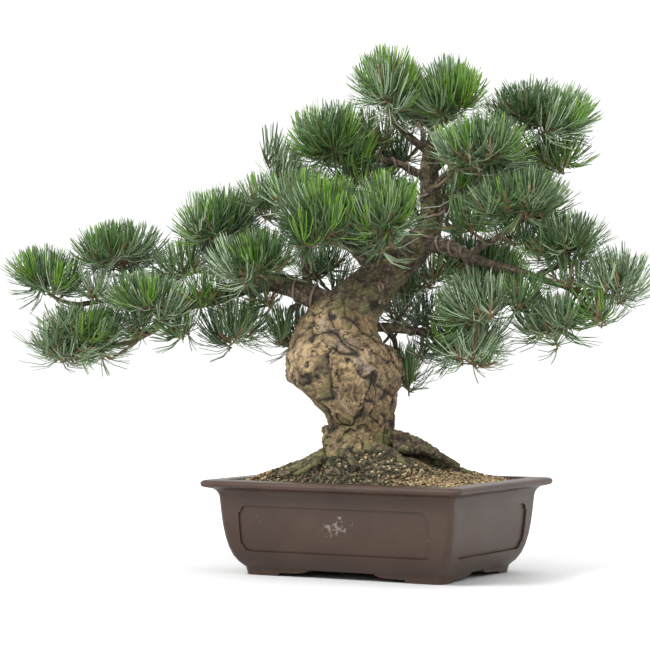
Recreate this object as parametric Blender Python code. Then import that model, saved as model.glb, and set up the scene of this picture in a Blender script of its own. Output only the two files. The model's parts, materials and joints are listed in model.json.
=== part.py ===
"""Japanese white pine bonsai in an oblong footed pot.

Metres, +Z up. X runs along the pot's long side and Y along its short side, and the pot
stands on Z = 0. The tree is laid out in its own directions: across (along the crown's
broad side), away (towards its back) and up, from the middle of the pot. The Z axis is
the middle of the whole plant, so the pot stands a little to one side of it.
"""

import math

import bmesh
import bpy
import numpy as np

MM = 0.001
UP = np.array([0.0, 0.0, 1.0])

# Gap between pieces that touch, and the least room between a twig and a limb
GAP = 0.3 * MM
CLEAR = 0.8 * MM

# Middle of the pot, and the turn of the crown's broad side from the pot's long side
POT_MIDDLE = (55.5 * MM, -22.4 * MM)
CROWN_TURN = math.radians(29.4)

# Pot: outer size over the lip, then its section as distances in from the lip's edge
POT_LENGTH = 320 * MM
POT_WIDTH = 246 * MM
POT_HEIGHT = 105 * MM
POT_CORNER = 9 * MM
CORNER_STEPS = 3
LIP_THICK = 8 * MM
LIP_UNDERSIDE = 7 * MM
LIP_TOP = 23 * MM
NECK_INSET = 15.7 * MM
NECK_HEIGHT = 84 * MM
BODY_BULGE = (18.5 * MM, 45 * MM)
BODY_TUCK = (22 * MM, 20 * MM)
FOOT_INSET = 37 * MM
FOOT_HEIGHT = 8.2 * MM
FOOT_TAPER = 1.6 * MM
FLOOR_INSET = 36 * MM
FLOOR_TOP = 18 * MM
PANEL_DEPTH = 1.4 * MM
PANEL_BOTTOM = 27 * MM
PANEL_TOP = 78 * MM
PANEL_STEP = 2.6 * MM
PANEL_ROUND = 7 * MM
LONG_PANEL_HALF = 117 * MM
SHORT_PANEL_HALF = 82 * MM
LONG_FOOT = (38 * MM, 43 * MM)
SHORT_FOOT = (22 * MM, 48 * MM)

# Soil: its edge lies under the lip and it rises to a level seat under the trunk
SOIL_EDGE = 99 * MM
SOIL_SEAT = 127 * MM
SEAT_RADIUS = 50 * MM
SOIL_RINGS = 5

# Trunk: across, away, up and radius at each station, in millimetres
TRUNK_STATIONS = (
    (-22, 0, 127, 43),
    (-22, 0, 146, 38),
    (-20, 0, 166, 38),
    (-27, 0, 184, 49),
    (-35, 0, 202, 58),
    (-39, 0, 224, 59),
    (-44, 0, 247, 53),
    (-43, 0, 266, 42),
    (-33, 1, 286, 32),
    (-16, 2, 306, 27),
    (6, 4, 330, 23),
    (32, 6, 353, 18.5),
    (53, 8, 374, 14.5),
    (60, 8, 400, 12.5),
    (58, 8, 430, 10.5),
    (57, 7, 458, 8.5),
    (63, 5, 486, 6.5),
)
TRUNK_STEPS = 21
TRUNK_SIDES = 12
FLARE_HEIGHT = 34 * MM
# Root ridges of the flare: direction in degrees from across, and how far each swells
FLARE_RIDGES = ((8, 0.26), (95, 0.16), (168, 0.10), (235, 0.18), (300, 0.20))
# Roots that run on over the soil: start, middle and tip, then the radius at each end
SURFACE_ROOTS = (
    ((-4, -6, 146), (44, -14, 134), (104, -12, 112), 13, 3),
    ((-30, -4, 138), (-76, -6, 124), (-104, 2, 113), 10, 3),
    ((-24, 8, 138), (-10, 52, 124), (14, 84, 110), 10, 3),
)

# Limbs: parent, how far along it, tip (across, away, up), radius at start and tip, lift
TRUNK = "trunk"
LIMBS = {
    "bough_left": (TRUNK, 0.50, (-168, 42, 313), 14.5, 8.5, 26),
    "bough_far_left": ("bough_left", 1.0, (-258, 66, 268), 8.5, 4.0, 8),
    "bough_left_top": ("bough_left", 0.72, (-170, 54, 350), 5.5, 3.2, 6),
    "bough_left_front": ("bough_left", 0.50, (-124, 0, 330), 5.5, 3.0, 6),
    "bough_left_back": ("bough_left", 0.60, (-150, 97, 332), 5.5, 3.0, 4),
    "bough_left_hanging": ("bough_left", 0.80, (-140, 34, 292), 4.0, 2.6, -8),
    "bough_left_under": ("bough_left", 0.36, (-97, 48, 296), 4.5, 2.6, -6),
    "bough_tall_shoots": ("bough_left", 0.30, (-100, 62, 392), 5.0, 2.6, 10),
    "bough_far_left_inner": ("bough_far_left", 0.30, (-240, 42, 290), 4.5, 2.6, 6),
    "bough_far_left_top": ("bough_far_left", 0.46, (-270, 86, 322), 4.5, 2.8, 10),
    "bough_far_left_tip": ("bough_far_left", 0.72, (-338, 96, 300), 4.0, 2.6, 14),
    "bough_front_left": (TRUNK, 0.62, (-40, -50, 362), 8.0, 3.6, 6),
    "bough_front": (TRUNK, 0.69, (17, -56, 360), 7.0, 3.4, 4),
    "bough_back_left": (TRUNK, 0.66, (-18, 76, 358), 8.0, 3.6, 6),
    "bough_right": (TRUNK, 0.72, (128, -62, 339), 8.5, 4.6, 10),
    "bough_far_right": ("bough_right", 1.0, (203, -86, 315), 4.6, 2.8, 6),
    "bough_right_middle": ("bough_right", 0.66, (140, -86, 380), 4.2, 2.6, 0),
    "bough_right_low": ("bough_right", 0.60, (108, -58, 318), 4.0, 2.6, -4),
    "bough_far_right_top": ("bough_far_right", 0.55, (190, -86, 337), 3.4, 2.4, 2),
    "bough_far_right_low": ("bough_far_right", 0.45, (180, -80, 298), 3.2, 2.4, -4),
    "bough_back_right": (TRUNK, 0.72, (92, 60, 345), 6.5, 3.2, 6),
    "bough_right_back": (TRUNK, 0.80, (104, 50, 415), 6.0, 3.0, 4),
    "bough_right_front": (TRUNK, 0.86, (84, -50, 444), 5.5, 2.8, 2),
    "bough_upper_right": (TRUNK, 0.91, (124, -8, 487), 5.5, 3.0, 8),
    "bough_upper_left": (TRUNK, 0.89, (-28, 10, 466), 4.6, 2.8, 6),
    "bough_apex_left": (TRUNK, 0.96, (18, -8, 500), 5.0, 3.0, -4),
    "bough_apex_back": (TRUNK, 0.94, (52, 50, 494), 4.5, 2.8, 2),
    "bough_low_right": (TRUNK, 0.44, (80, 26, 264), 6.5, 3.4, 10),
    "bough_low_hanging": ("bough_low_right", 0.42, (24, 44, 246), 3.4, 2.4, -2),
}
LIMB_STEPS = 5
WANDER = 0.05

# Masses of foliage: limb, middle and half size (across, away, up), number of shoots
MASSES = {
    "foliage_far_left_tip": ("bough_far_left_tip", (-381, 98, 328), (50, 44, 40), 6),
    "foliage_far_left_top": ("bough_far_left_top", (-294, 92, 355), (62, 56, 42), 6),
    "foliage_far_left_low": ("bough_far_left", (-340, 78, 270), (60, 46, 36), 6),
    "foliage_far_left_inner": ("bough_far_left_inner", (-256, 40, 300), (58, 50, 42), 6),
    "foliage_left_top": ("bough_left_top", (-176, 58, 380), (54, 52, 54), 6),
    "foliage_left_front": ("bough_left_front", (-134, -14, 345), (52, 46, 42), 6),
    "foliage_left_back": ("bough_left_back", (-160, 136, 348), (54, 52, 46), 6),
    "foliage_left_hanging": ("bough_left_hanging", (-160, 36, 270), (44, 42, 38), 5),
    "foliage_left_under": ("bough_left_under", (-96, 52, 264), (34, 38, 40), 4),
    "foliage_tall_shoots": ("bough_tall_shoots", (-112, 62, 446), (32, 34, 60), 5),
    "foliage_centre_left": ("bough_front_left", (-62, -62, 386), (52, 56, 58), 6),
    "foliage_centre_right": ("bough_front", (10, -84, 384), (50, 50, 58), 6),
    "foliage_centre_back": ("bough_back_left", (-34, 116, 382), (58, 52, 56), 6),
    "foliage_upper_left": ("bough_upper_left", (-50, 12, 474), (50, 58, 54), 6),
    "foliage_apex_left": ("bough_apex_left", (10, -14, 532), (48, 50, 54), 6),
    "foliage_apex_right": (TRUNK, (78, -12, 526), (46, 48, 48), 6),
    "foliage_apex_back": ("bough_apex_back", (44, 84, 520), (52, 48, 50), 6),
    "foliage_upper_right": ("bough_upper_right", (170, -10, 506), (66, 56, 44), 6),
    "foliage_right_front": ("bough_right_front", (110, -82, 460), (60, 50, 46), 6),
    "foliage_right_back": ("bough_right_back", (142, 76, 432), (62, 56, 50), 6),
    "foliage_right_middle": ("bough_right_middle", (152, -100, 404), (62, 50, 42), 6),
    "foliage_right_low": ("bough_right_low", (108, -66, 292), (48, 46, 46), 5),
    "foliage_back_right": ("bough_back_right", (116, 96, 336), (60, 52, 50), 6),
    "foliage_far_right_top": ("bough_far_right_top", (199, -92, 358), (52, 46, 42), 5),
    "foliage_far_right_tip": ("bough_far_right", (252, -102, 318), (46, 44, 44), 5),
    "foliage_far_right_low": ("bough_far_right_low", (192, -84, 278), (50, 44, 42), 5),
    "foliage_low_back": ("bough_low_right", (100, 26, 256), (54, 44, 40), 5),
    "foliage_low_hanging": ("bough_low_hanging", (28, 50, 222), (36, 38, 40), 4),
}
SEED = 7
NEEDLE = 44 * MM
TWIG_RADIUS = 1.3 * MM
CORE_RADIUS = 5.4 * MM
CORE_LENGTH = 7 * MM
SPIKE_FOOT = 8 * MM
SPIKE_RADIUS = 1.8 * MM
SPIKE_ROOM = 3.4 * MM
SHOOT_ROOM = 14 * MM
TRIES = 8
STEM_SIDES = 5
TWIG_SIDES = 3
GOLDEN_ANGLE = math.pi * (3 - math.sqrt(5))


# Materials


def material(name, colour, roughness):
    made = bpy.data.materials.new(name)
    made.use_nodes = True
    shader = made.node_tree.nodes["Principled BSDF"]
    shader.inputs["Base Color"].default_value = (*colour, 1.0)
    shader.inputs["Roughness"].default_value = roughness
    shader.inputs["Metallic"].default_value = 0.0
    return made


# Small vector helpers


def at(across, away, up):
    """The point of the tree's own directions, given in millimetres."""
    turn, far = math.cos(CROWN_TURN), math.sin(CROWN_TURN)
    x = POT_MIDDLE[0] + (across * turn - away * far) * MM
    y = POT_MIDDLE[1] + (across * far + away * turn) * MM
    return np.array([x, y, up * MM])


def unit(vector):
    return vector / np.linalg.norm(vector)


def bezier(start, first, second, end, count):
    t = np.linspace(0, 1, count)[:, None]
    return (
        (1 - t) ** 3 * start
        + 3 * (1 - t) ** 2 * t * first
        + 3 * (1 - t) * t**2 * second
        + t**3 * end
    )


def smooth_rows(rows, count):
    """Rows read off a smooth curve that runs through the given ones."""
    rows = np.asarray(rows, float)
    padded = np.vstack([2 * rows[0] - rows[1], rows, 2 * rows[-1] - rows[-2]])
    places = np.linspace(0, len(rows) - 1, count)
    cells = np.minimum(places.astype(int), len(rows) - 2)
    t = (places - cells)[:, None]
    a, b, c, d = (padded[cells + i] for i in range(4))
    return 0.5 * (
        2 * b
        + (c - a) * t
        + (2 * a - 5 * b + 4 * c - d) * t**2
        + (3 * b - a - 3 * c + d) * t**3
    )


def frames(path, ahead=None):
    """Tangent and two normals at each point. Ahead is the tangent to start on."""
    tangents = np.gradient(path, axis=0)
    tangents /= np.linalg.norm(tangents, axis=1)[:, None]
    if ahead is not None:
        tangents[0] = ahead
    side = np.cross(tangents[0], [0.0, 1.0, 0.0])
    if np.linalg.norm(side) < 0.1:
        side = np.cross(tangents[0], [1.0, 0.0, 0.0])
    sides = []
    for tangent in tangents:
        side = unit(side - tangent * side.dot(tangent))
        sides.append(side)
    sides = np.array(sides)
    return tangents, sides, np.cross(tangents, sides)


def segment_gaps(a, b, c, d):
    """Distances between the segments a-b (n of them) and c-d (m of them)."""
    u = (b - a)[:, None]
    v = (d - c)[None]
    w = a[:, None] - c[None]
    uu = (u * u).sum(-1) + 1e-18
    uv = (u * v).sum(-1)
    vv = (v * v).sum(-1) + 1e-18
    uw = (u * w).sum(-1)
    vw = (v * w).sum(-1)
    spread = np.maximum(uu * vv - uv * uv, 1e-18)
    s = np.clip((uv * vw - vv * uw) / spread, 0, 1)
    t = np.clip((uv * s + vw) / vv, 0, 1)
    s = np.clip((uv * t - uw) / uu, 0, 1)
    return np.linalg.norm(w + s[..., None] * u - t[..., None] * v, axis=-1)


# Mesh helpers


def tube(path, radii, sides, ahead=None):
    """Points and faces of a closed tube. Radii may differ from side to side."""
    _, side, other = frames(path, ahead)
    angles = np.arange(sides) * 2 * math.pi / sides
    spokes = np.cos(angles)[:, None] * side[:, None] + np.sin(angles)[:, None] * other[:, None]
    radii = np.broadcast_to(np.asarray(radii).reshape(len(path), -1), (len(path), sides))
    points = (path[:, None] + spokes * radii[..., None]).reshape(-1, 3)
    faces = [tuple(reversed(range(sides)))]
    for ring in range(len(path) - 1):
        for i in range(sides):
            j = (i + 1) % sides
            low = ring * sides
            faces.append((low + i, low + j, low + sides + j))
            faces.append((low + i, low + sides + j, low + sides + i))
    last = (len(path) - 1) * sides
    faces.append(tuple(range(last, last + sides)))
    return points, faces


def lofted(rings):
    """Points and faces of a closed body that runs through rings of equal length."""
    count = len(rings[0])
    points = np.concatenate(rings)
    faces = [tuple(reversed(range(count)))]
    for ring in range(len(rings) - 1):
        for i in range(count):
            j = (i + 1) % count
            low = ring * count
            faces.append((low + i, low + j, low + count + j, low + count + i))
    last = (len(rings) - 1) * count
    faces.append(tuple(range(last, last + count)))
    return points, faces


def solid(name, shape, finish, smooth_angle=40):
    points, faces = shape
    mesh = bpy.data.meshes.new(name)
    mesh.from_pydata([tuple(point) for point in points], [], faces)
    mesh.materials.append(finish)
    mesh.shade_smooth()
    mesh.set_sharp_from_angle(angle=math.radians(smooth_angle))
    made = bpy.data.objects.new(name, mesh)
    bpy.context.scene.collection.objects.link(made)
    return made


def cutter(name, shape, finish):
    made = solid(name, shape, finish)
    made.hide_render = True
    made.display_type = "WIRE"
    return made


def cut(piece, tool, operation="DIFFERENCE"):
    """A Boolean that stays on the piece."""
    modifier = piece.modifiers.new(tool.name, "BOOLEAN")
    modifier.operation = operation
    modifier.solver = "EXACT"
    modifier.object = tool


def settle(piece):
    """Applies the modifiers, then keeps only the largest closed body of the result.

    A hollow that the joining sealed goes with its inner surface, and so do loose scraps.
    """
    graph = bpy.context.evaluated_depsgraph_get()
    applied = bpy.data.meshes.new_from_object(piece.evaluated_get(graph))
    piece.modifiers.clear()
    shape = bmesh.new()
    shape.from_mesh(applied)
    islands = []
    waiting = set(shape.faces)
    while waiting:
        front = [waiting.pop()]
        island = set(front)
        while front:
            for edge in front.pop().edges:
                for face in edge.link_faces:
                    if face in waiting:
                        waiting.remove(face)
                        island.add(face)
                        front.append(face)
        islands.append(island)
    largest = max(islands, key=len)
    spare = [face for island in islands if island is not largest for face in island]
    bmesh.ops.delete(shape, geom=spare, context="FACES")
    shape.to_mesh(applied)
    shape.free()
    name = piece.data.name
    old = piece.data
    piece.data = applied
    bpy.data.meshes.remove(old)
    applied.name = name
    applied.shade_smooth()
    applied.set_sharp_from_angle(angle=math.radians(40))


def remove(piece):
    mesh = piece.data
    bpy.data.objects.remove(piece)
    bpy.data.meshes.remove(mesh)


# Pot


def pot_ring(inset, height, corner=POT_CORNER):
    """Points round the pot, this far in from the lip's edge."""
    half_x = POT_LENGTH / 2 - inset - corner
    half_y = POT_WIDTH / 2 - inset - corner
    ring = []
    for quarter, (sx, sy) in enumerate(((1, 1), (-1, 1), (-1, -1), (1, -1))):
        for step in range(CORNER_STEPS + 1):
            angle = (quarter + step / CORNER_STEPS) * math.pi / 2
            ring.append(
                (
                    POT_MIDDLE[0] + sx * half_x + corner * math.cos(angle),
                    POT_MIDDLE[1] + sy * half_y + corner * math.sin(angle),
                    height,
                )
            )
    return np.array(ring)


def quarter_curve(start, end, steps, upright_first):
    """Points after start on a quarter of an ellipse from start to end."""
    found = []
    for step in range(1, steps + 1):
        angle = step / steps * math.pi / 2
        slow, fast = 1 - math.cos(angle), math.sin(angle)
        along, rise = (slow, fast) if upright_first else (fast, slow)
        found.append(
            (start[0] + (end[0] - start[0]) * along, start[1] + (end[1] - start[1]) * rise)
        )
    return found


def pot_section():
    """Inset and height, from under the foot, up the wall, over the lip and down inside."""
    lip_low = POT_HEIGHT - LIP_THICK
    middle = POT_HEIGHT - LIP_THICK / 2
    section = [(FOOT_INSET + FOOT_TAPER, 0.0), (FOOT_INSET, FOOT_HEIGHT)]
    wall = bezier(
        np.array([FOOT_INSET - 0.4 * MM, FOOT_HEIGHT + 0.5 * MM]),
        np.array(BODY_TUCK),
        np.array(BODY_BULGE),
        np.array([NECK_INSET, NECK_HEIGHT]),
        8,
    )
    section += [tuple(row) for row in wall]
    section += quarter_curve(section[-1], (LIP_UNDERSIDE, lip_low - 1 * MM), 4, True)
    section.append((LIP_THICK / 3, lip_low))
    section += quarter_curve(section[-1], (0.0, middle), 2, False)
    section += quarter_curve(section[-1], (LIP_THICK / 2, POT_HEIGHT), 3, True)
    section.append((LIP_TOP - 1.5 * MM, POT_HEIGHT))
    section.append((LIP_TOP, POT_HEIGHT - 1.5 * MM))
    section.append((LIP_TOP + 3 * MM, POT_HEIGHT / 2))
    section.append((FLOOR_INSET, FLOOR_TOP))
    return section


def foot_arch(opening_half, run, depth):
    """Outline of the opening between two feet, with a two-step curve at each end."""
    step = run * 0.14
    shelf = run * 0.38
    half = [(opening_half, -depth), (opening_half, 0.0)]
    half += quarter_curve(half[-1], (opening_half - step, FOOT_HEIGHT * 0.42), 3, False)
    half.append((opening_half - step - shelf, FOOT_HEIGHT * 0.46))
    half += quarter_curve(half[-1], (opening_half - run, FOOT_HEIGHT), 4, False)
    return half + [(-along, up) for along, up in reversed(half)]


def panel_outline(half):
    """Outline of a sunk panel: a rectangle whose round corners stand one step in."""
    tall = (PANEL_TOP - PANEL_BOTTOM) / 2
    middle = (PANEL_TOP + PANEL_BOTTOM) / 2
    corner = [(half, tall - PANEL_ROUND - 1 * MM)]
    corner.append((half - PANEL_STEP, tall - PANEL_ROUND))
    corner += quarter_curve(corner[-1], (half - PANEL_STEP - PANEL_ROUND, tall), 4, True)
    outline = []
    for sx, sz in ((1, 1), (-1, 1), (-1, -1), (1, -1)):
        part = [(sx * along, middle + sz * up) for along, up in corner]
        outline += part if sx * sz > 0 else part[::-1]
    return outline


def prism(outline, start, end, facing):
    """Body of an outline of (along, up), drawn out along X or Y from start to end."""
    rings = []
    for reach in (start, end):
        if facing == "Y":
            ring = [(POT_MIDDLE[0] + along, POT_MIDDLE[1] + reach, up) for along, up in outline]
        else:
            ring = [(POT_MIDDLE[0] + reach, POT_MIDDLE[1] + along, up) for along, up in outline]
        rings.append(np.array(ring))
    points, faces = lofted(rings)
    return points, faces


def facing_out(shape):
    """The same closed shape with its faces turned outwards."""
    points, faces = shape
    volume = 0.0
    for face in faces:
        for i in range(1, len(face) - 1):
            a, b, c = points[face[0]], points[face[i]], points[face[i + 1]]
            volume += float(np.dot(a, np.cross(b, c)))
    return (points, faces) if volume > 0 else (points, [face[::-1] for face in faces])


def make_pot(finish):
    section = pot_section()
    pot = solid("pot", lofted([pot_ring(inset, up) for inset, up in section]), finish, 30)
    over = 5 * MM
    half_x, half_y = POT_LENGTH / 2, POT_WIDTH / 2
    base = FOOT_INSET + FOOT_TAPER
    long_arch = foot_arch(half_x - base - LONG_FOOT[0], LONG_FOOT[1], over)
    short_arch = foot_arch(half_y - base - SHORT_FOOT[0], SHORT_FOOT[1], over)
    arches = (
        ("long_arch_cutter", prism(long_arch, -half_y, half_y, "Y")),
        ("short_arch_cutter", prism(short_arch, -half_x, half_x, "X")),
    )
    for name, shape in arches:
        tool = cutter(name, facing_out(shape), finish)
        cut(pot, tool)
    core_rows = section[2:12]
    core = cutter(
        "panel_floor",
        lofted([pot_ring(inset + PANEL_DEPTH, up) for inset, up in core_rows]),
        finish,
    )
    deep = FOOT_INSET + over
    sides = (
        ("front", LONG_PANEL_HALF, -half_y - over, -half_y + deep, "Y"),
        ("back", LONG_PANEL_HALF, half_y - deep, half_y + over, "Y"),
        ("left", SHORT_PANEL_HALF, -half_x - over, -half_x + deep, "X"),
        ("right", SHORT_PANEL_HALF, half_x - deep, half_x + over, "X"),
    )
    for name, half, start, end, facing in sides:
        shape = prism(panel_outline(half), start, end, facing)
        tool = cutter(f"{name}_panel_cutter", facing_out(shape), finish)
        cut(tool, core)
        cut(pot, tool)
    return pot


# Soil


def soil_shape(lift=0.0, spread=0.0):
    """The soil's body. Lift raises its top, and spread widens it."""
    seat_middle = at(TRUNK_STATIONS[0][0], TRUNK_STATIONS[0][1], 0)
    low = pot_ring(FLOOR_INSET + GAP - spread, FLOOR_TOP + GAP - spread)
    waist = pot_ring(LIP_TOP + 3 * MM + GAP - spread, POT_HEIGHT / 2)
    edge_inset = LIP_TOP + 0.6 * MM + GAP - spread
    edge = pot_ring(edge_inset, SOIL_EDGE + lift)
    rings = [low, waist, edge]
    for step in range(1, SOIL_RINGS + 1):
        t = step / SOIL_RINGS
        rise = 0.5 * (t + 0.5 * (1 - math.cos(math.pi * t)))
        away_from_seat = edge[:, :2] - seat_middle[:2]
        seat = seat_middle[:2] + away_from_seat * (
            SEAT_RADIUS / np.linalg.norm(away_from_seat, axis=1)[:, None]
        )
        flat = edge[:, :2] * (1 - t) + seat * t
        height = SOIL_EDGE + (SOIL_SEAT - SOIL_EDGE) * rise + lift
        rings.append(np.column_stack([flat, np.full(len(flat), height)]))
    return lofted(rings)


# Trunk


def trunk_rows():
    """Path and radius of the trunk, from its flat cut to its tip."""
    rows = smooth_rows(TRUNK_STATIONS, TRUNK_STEPS)
    path = np.array([at(*row[:3]) for row in rows])
    path[0, 2] = SOIL_SEAT + GAP
    return path, rows[:, 3] * MM


def trunk_shape(grow=0.0):
    path, radii = trunk_rows()
    angles = np.arange(TRUNK_SIDES) * 2 * math.pi / TRUNK_SIDES
    along = np.linspace(0, 1, len(path))[:, None]
    swell = 0.05 * np.sin(3 * angles + 11 * along) + 0.04 * np.sin(5 * angles - 17 * along)
    flare = np.clip(1 - (path[:, 2] - path[0, 2]) / FLARE_HEIGHT, 0, 1)[:, None] ** 2
    _, sides, others = frames(path, UP)
    heading = np.arctan2(
        np.cos(angles) * sides[0, 1] + np.sin(angles) * others[0, 1],
        np.cos(angles) * sides[0, 0] + np.sin(angles) * others[0, 0],
    )
    for degrees, size in FLARE_RIDGES:
        lean = np.cos(heading - CROWN_TURN - math.radians(degrees))
        swell = swell + size * flare * np.clip(lean, 0, 1) ** 6
    return tube(path, radii[:, None] * (1 + swell) + grow, TRUNK_SIDES, UP)


def make_trunk(finish):
    trunk = solid(TRUNK, trunk_shape(), finish, 60)
    tools = []
    for number, (start, middle, end, thick, thin) in enumerate(SURFACE_ROOTS):
        path = smooth_rows([at(*start), at(*middle), at(*end)], 7)
        root = solid(f"root_{number}", tube(path, np.linspace(thick, thin, 7) * MM, 7), finish)
        cut(trunk, root, "UNION")
        tools.append(root)
    ground = solid("ground_cutter", soil_shape(lift=GAP, spread=1 * MM), finish)
    cut(trunk, ground)
    tools.append(ground)
    settle(trunk)
    for tool in tools:
        remove(tool)
    return trunk


# Limbs


def end_direction(path):
    return unit(path[-1] - path[-2])


def limb_rows(name, known):
    """Path and radius of a limb, which starts on its parent's middle line or at its tip."""
    parent, fraction, tip, start_radius, tip_radius, lift = LIMBS[name]
    parent_path, _ = known[parent]
    tip = at(*tip)
    rng = np.random.default_rng(SEED + list(LIMBS).index(name))
    if fraction == 1.0:
        ahead = end_direction(parent_path)
        start = parent_path[-1] + ahead * GAP
        reach = tip - start
        first = start + ahead * np.linalg.norm(reach) * 0.35
    else:
        place = fraction * (len(parent_path) - 1)
        cell = int(place)
        start = parent_path[cell] + (parent_path[cell + 1] - parent_path[cell]) * (place - cell)
        reach = tip - start
        first = start + reach * 0.33 + UP * lift * MM
    second = start + reach * 0.7 + UP * lift * 0.7 * MM
    path = bezier(start, first, second, tip, LIMB_STEPS + 1)
    t = np.linspace(0, 1, LIMB_STEPS + 1)
    bend = unit(np.cross(reach, rng.normal(size=3)))
    sway = np.sin(math.pi * t) * np.sin(5 * t + rng.uniform(0, 6))
    path = path + np.outer(sway, bend) * np.linalg.norm(reach) * WANDER
    radii = (start_radius + (tip_radius - start_radius) * t**0.8) * MM
    return path, radii


def limb_sides(radii):
    return 8 if radii[0] > 8 * MM else 5


def make_limbs(known, finish):
    made = []
    for name in LIMBS:
        path, radii = known[name]
        parent, fraction = LIMBS[name][:2]
        ahead = end_direction(known[parent][0]) if fraction == 1.0 else None
        limb = solid(name, tube(path, radii, limb_sides(radii), ahead), finish, 60)
        if fraction < 1.0:
            if parent == TRUNK:
                shape = trunk_shape(grow=GAP)
            else:
                parent_path, parent_radii = known[parent]
                shape = tube(parent_path, parent_radii + GAP, limb_sides(parent_radii))
            tool = solid(f"{name}_cutter", shape, finish)
            cut(limb, tool)
            settle(limb)
            remove(tool)
        made.append(limb)
    return made


def limb_segments(known):
    """Ends and radius of every short stretch of the trunk and the limbs."""
    starts = np.vstack([path[:-1] for path, _ in known.values()])
    ends = np.vstack([path[1:] for path, _ in known.values()])
    thick = [np.maximum(radii[:-1], radii[1:]) for _, radii in known.values()]
    return starts, ends, np.concatenate(thick) * 1.08


# Growth of a mass


class Twig:
    """A stem or twig: its points, the twig it leaves and at which point, and its load."""

    def __init__(self, points, parent=None, joint=0):
        self.points = points
        self.parent = parent
        self.joint = joint
        self.load = 0
        self.aim = unit(points[-1] - points[-2])
        self.ahead = None


def mass_middle(name):
    return at(*MASSES[name][1])


def mass_axes():
    turn, far = math.cos(CROWN_TURN), math.sin(CROWN_TURN)
    return np.array([[turn, far, 0.0], [-far, turn, 0.0], [0.0, 0.0, 1.0]])


def space_walls(name):
    """Planes between this mass and each other one, as normals and distances."""
    axes = mass_axes()
    middle = mass_middle(name)
    half = np.array(MASSES[name][2]) * MM
    normals = []
    offsets = []
    for other in MASSES:
        if other == name:
            continue
        between = mass_middle(other) - middle
        normal = unit(between)
        own = np.linalg.norm(half * (axes @ normal))
        theirs = np.linalg.norm(np.array(MASSES[other][2]) * MM * (axes @ normal))
        share = own / (own + theirs) * np.linalg.norm(between)
        normals.append(normal)
        offsets.append(normal.dot(middle) + share - CLEAR)
    return np.array(normals), np.array(offsets)


def in_space(points, name, walls):
    """Whether all points lie in the mass's own space."""
    normals, offsets = walls
    if (points @ normals.T > offsets).any():
        return False
    local = (points - mass_middle(name)) @ mass_axes().T / (np.array(MASSES[name][2]) * MM)
    return bool((np.linalg.norm(local, axis=1) < 1.12).all())


def touches(starts, ends, segments, radius):
    """Whether any of these stretches comes too near a limb."""
    low, high, thick = segments
    return bool((segment_gaps(starts, ends, low, high) < thick + radius + CLEAR).any())


def shoot_places(name, rng):
    """Where shoots would end and which way they face: a spiral over the mass."""
    half = np.array(MASSES[name][2]) * MM
    inner = np.maximum(half - 0.72 * NEEDLE, 0.25 * half)
    wanted = MASSES[name][3] * TRIES
    axes = mass_axes()
    turn = rng.uniform(0, 2 * math.pi)
    places = []
    for i in range(wanted):
        level = 0.95 - 1.5 * ((i * 0.618034) % 1.0)
        flat = math.sqrt(max(0.0, 1 - level * level))
        angle = turn + i * GOLDEN_ANGLE
        out = np.array([flat * math.cos(angle), flat * math.sin(angle), level])
        place = mass_middle(name) + axes.T @ (inner * out * rng.uniform(0.75, 1.1))
        aim = unit(axes.T @ out + UP * 0.55 + rng.normal(size=3) * 0.12)
        places.append((place, aim))
    return places


def grow_mass(name, known):
    """The twigs of one mass: first its stem, then one twig for each shoot."""
    limb, _, half, shoots = MASSES[name]
    rng = np.random.default_rng(SEED * 100 + list(MASSES).index(name))
    path, _ = known[limb]
    ahead = end_direction(path)
    root = path[-1] + ahead * GAP
    heart = mass_middle(name) - UP * half[2] * MM * 0.2
    reach = np.linalg.norm(heart - root)
    stem = bezier(root, root + ahead * reach * 0.4, heart - UP * reach * 0.2, heart, 5)
    twigs = [Twig(stem)]
    twigs[0].ahead = ahead
    walls = space_walls(name)
    segments = limb_segments(known)
    places = shoot_places(name, rng)
    for place, aim in places:
        if len(twigs) > shoots:
            break
        best = None
        for number, twig in enumerate(twigs):
            for joint in range(1, len(twig.points)):
                if number and joint == len(twig.points) - 1:
                    continue
                step = place - twig.points[joint]
                length = np.linalg.norm(step)
                back = unit(step).dot(aim)
                cost = length * (1.6 - 0.6 * back)
                if length > 8 * MM and (best is None or cost < best[0]):
                    best = (cost, number, joint)
        _, number, joint = best
        start = twigs[number].points[joint]
        length = np.linalg.norm(place - start)
        bend = place - aim * length * 0.4
        points = bezier(start, start + (bend - start) * 0.6, bend, place, 3)
        if not in_space(points, name, walls):
            continue
        if touches(points[1:-1], points[2:], segments, CORE_RADIUS):
            continue
        tips = np.array([twig.points[-1] for twig in twigs])
        if (np.linalg.norm(tips - place, axis=1) < SHOOT_ROOM).any():
            continue
        twigs.append(Twig(points, number, joint))
        twigs[-1].aim = aim
    for twig in reversed(twigs[1:]):
        twig.load += 1
        twigs[twig.parent].load += twig.load
    return twigs, walls, segments, rng


def twig_radii(twigs, limb_tip_radius):
    """Radius along each twig, stem first, by the number of shoots that it carries."""
    found = []
    for number, twig in enumerate(twigs):
        end = TWIG_RADIUS
        if number == 0:
            start = limb_tip_radius
            end = TWIG_RADIUS * 1.25
        else:
            start = TWIG_RADIUS * math.sqrt(twig.load)
            start = min(start, found[twig.parent][twig.joint] * 0.8)
            end = min(TWIG_RADIUS, start)
        found.append(np.linspace(start, end, len(twig.points)))
    return found


# Shoots as solids


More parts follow.
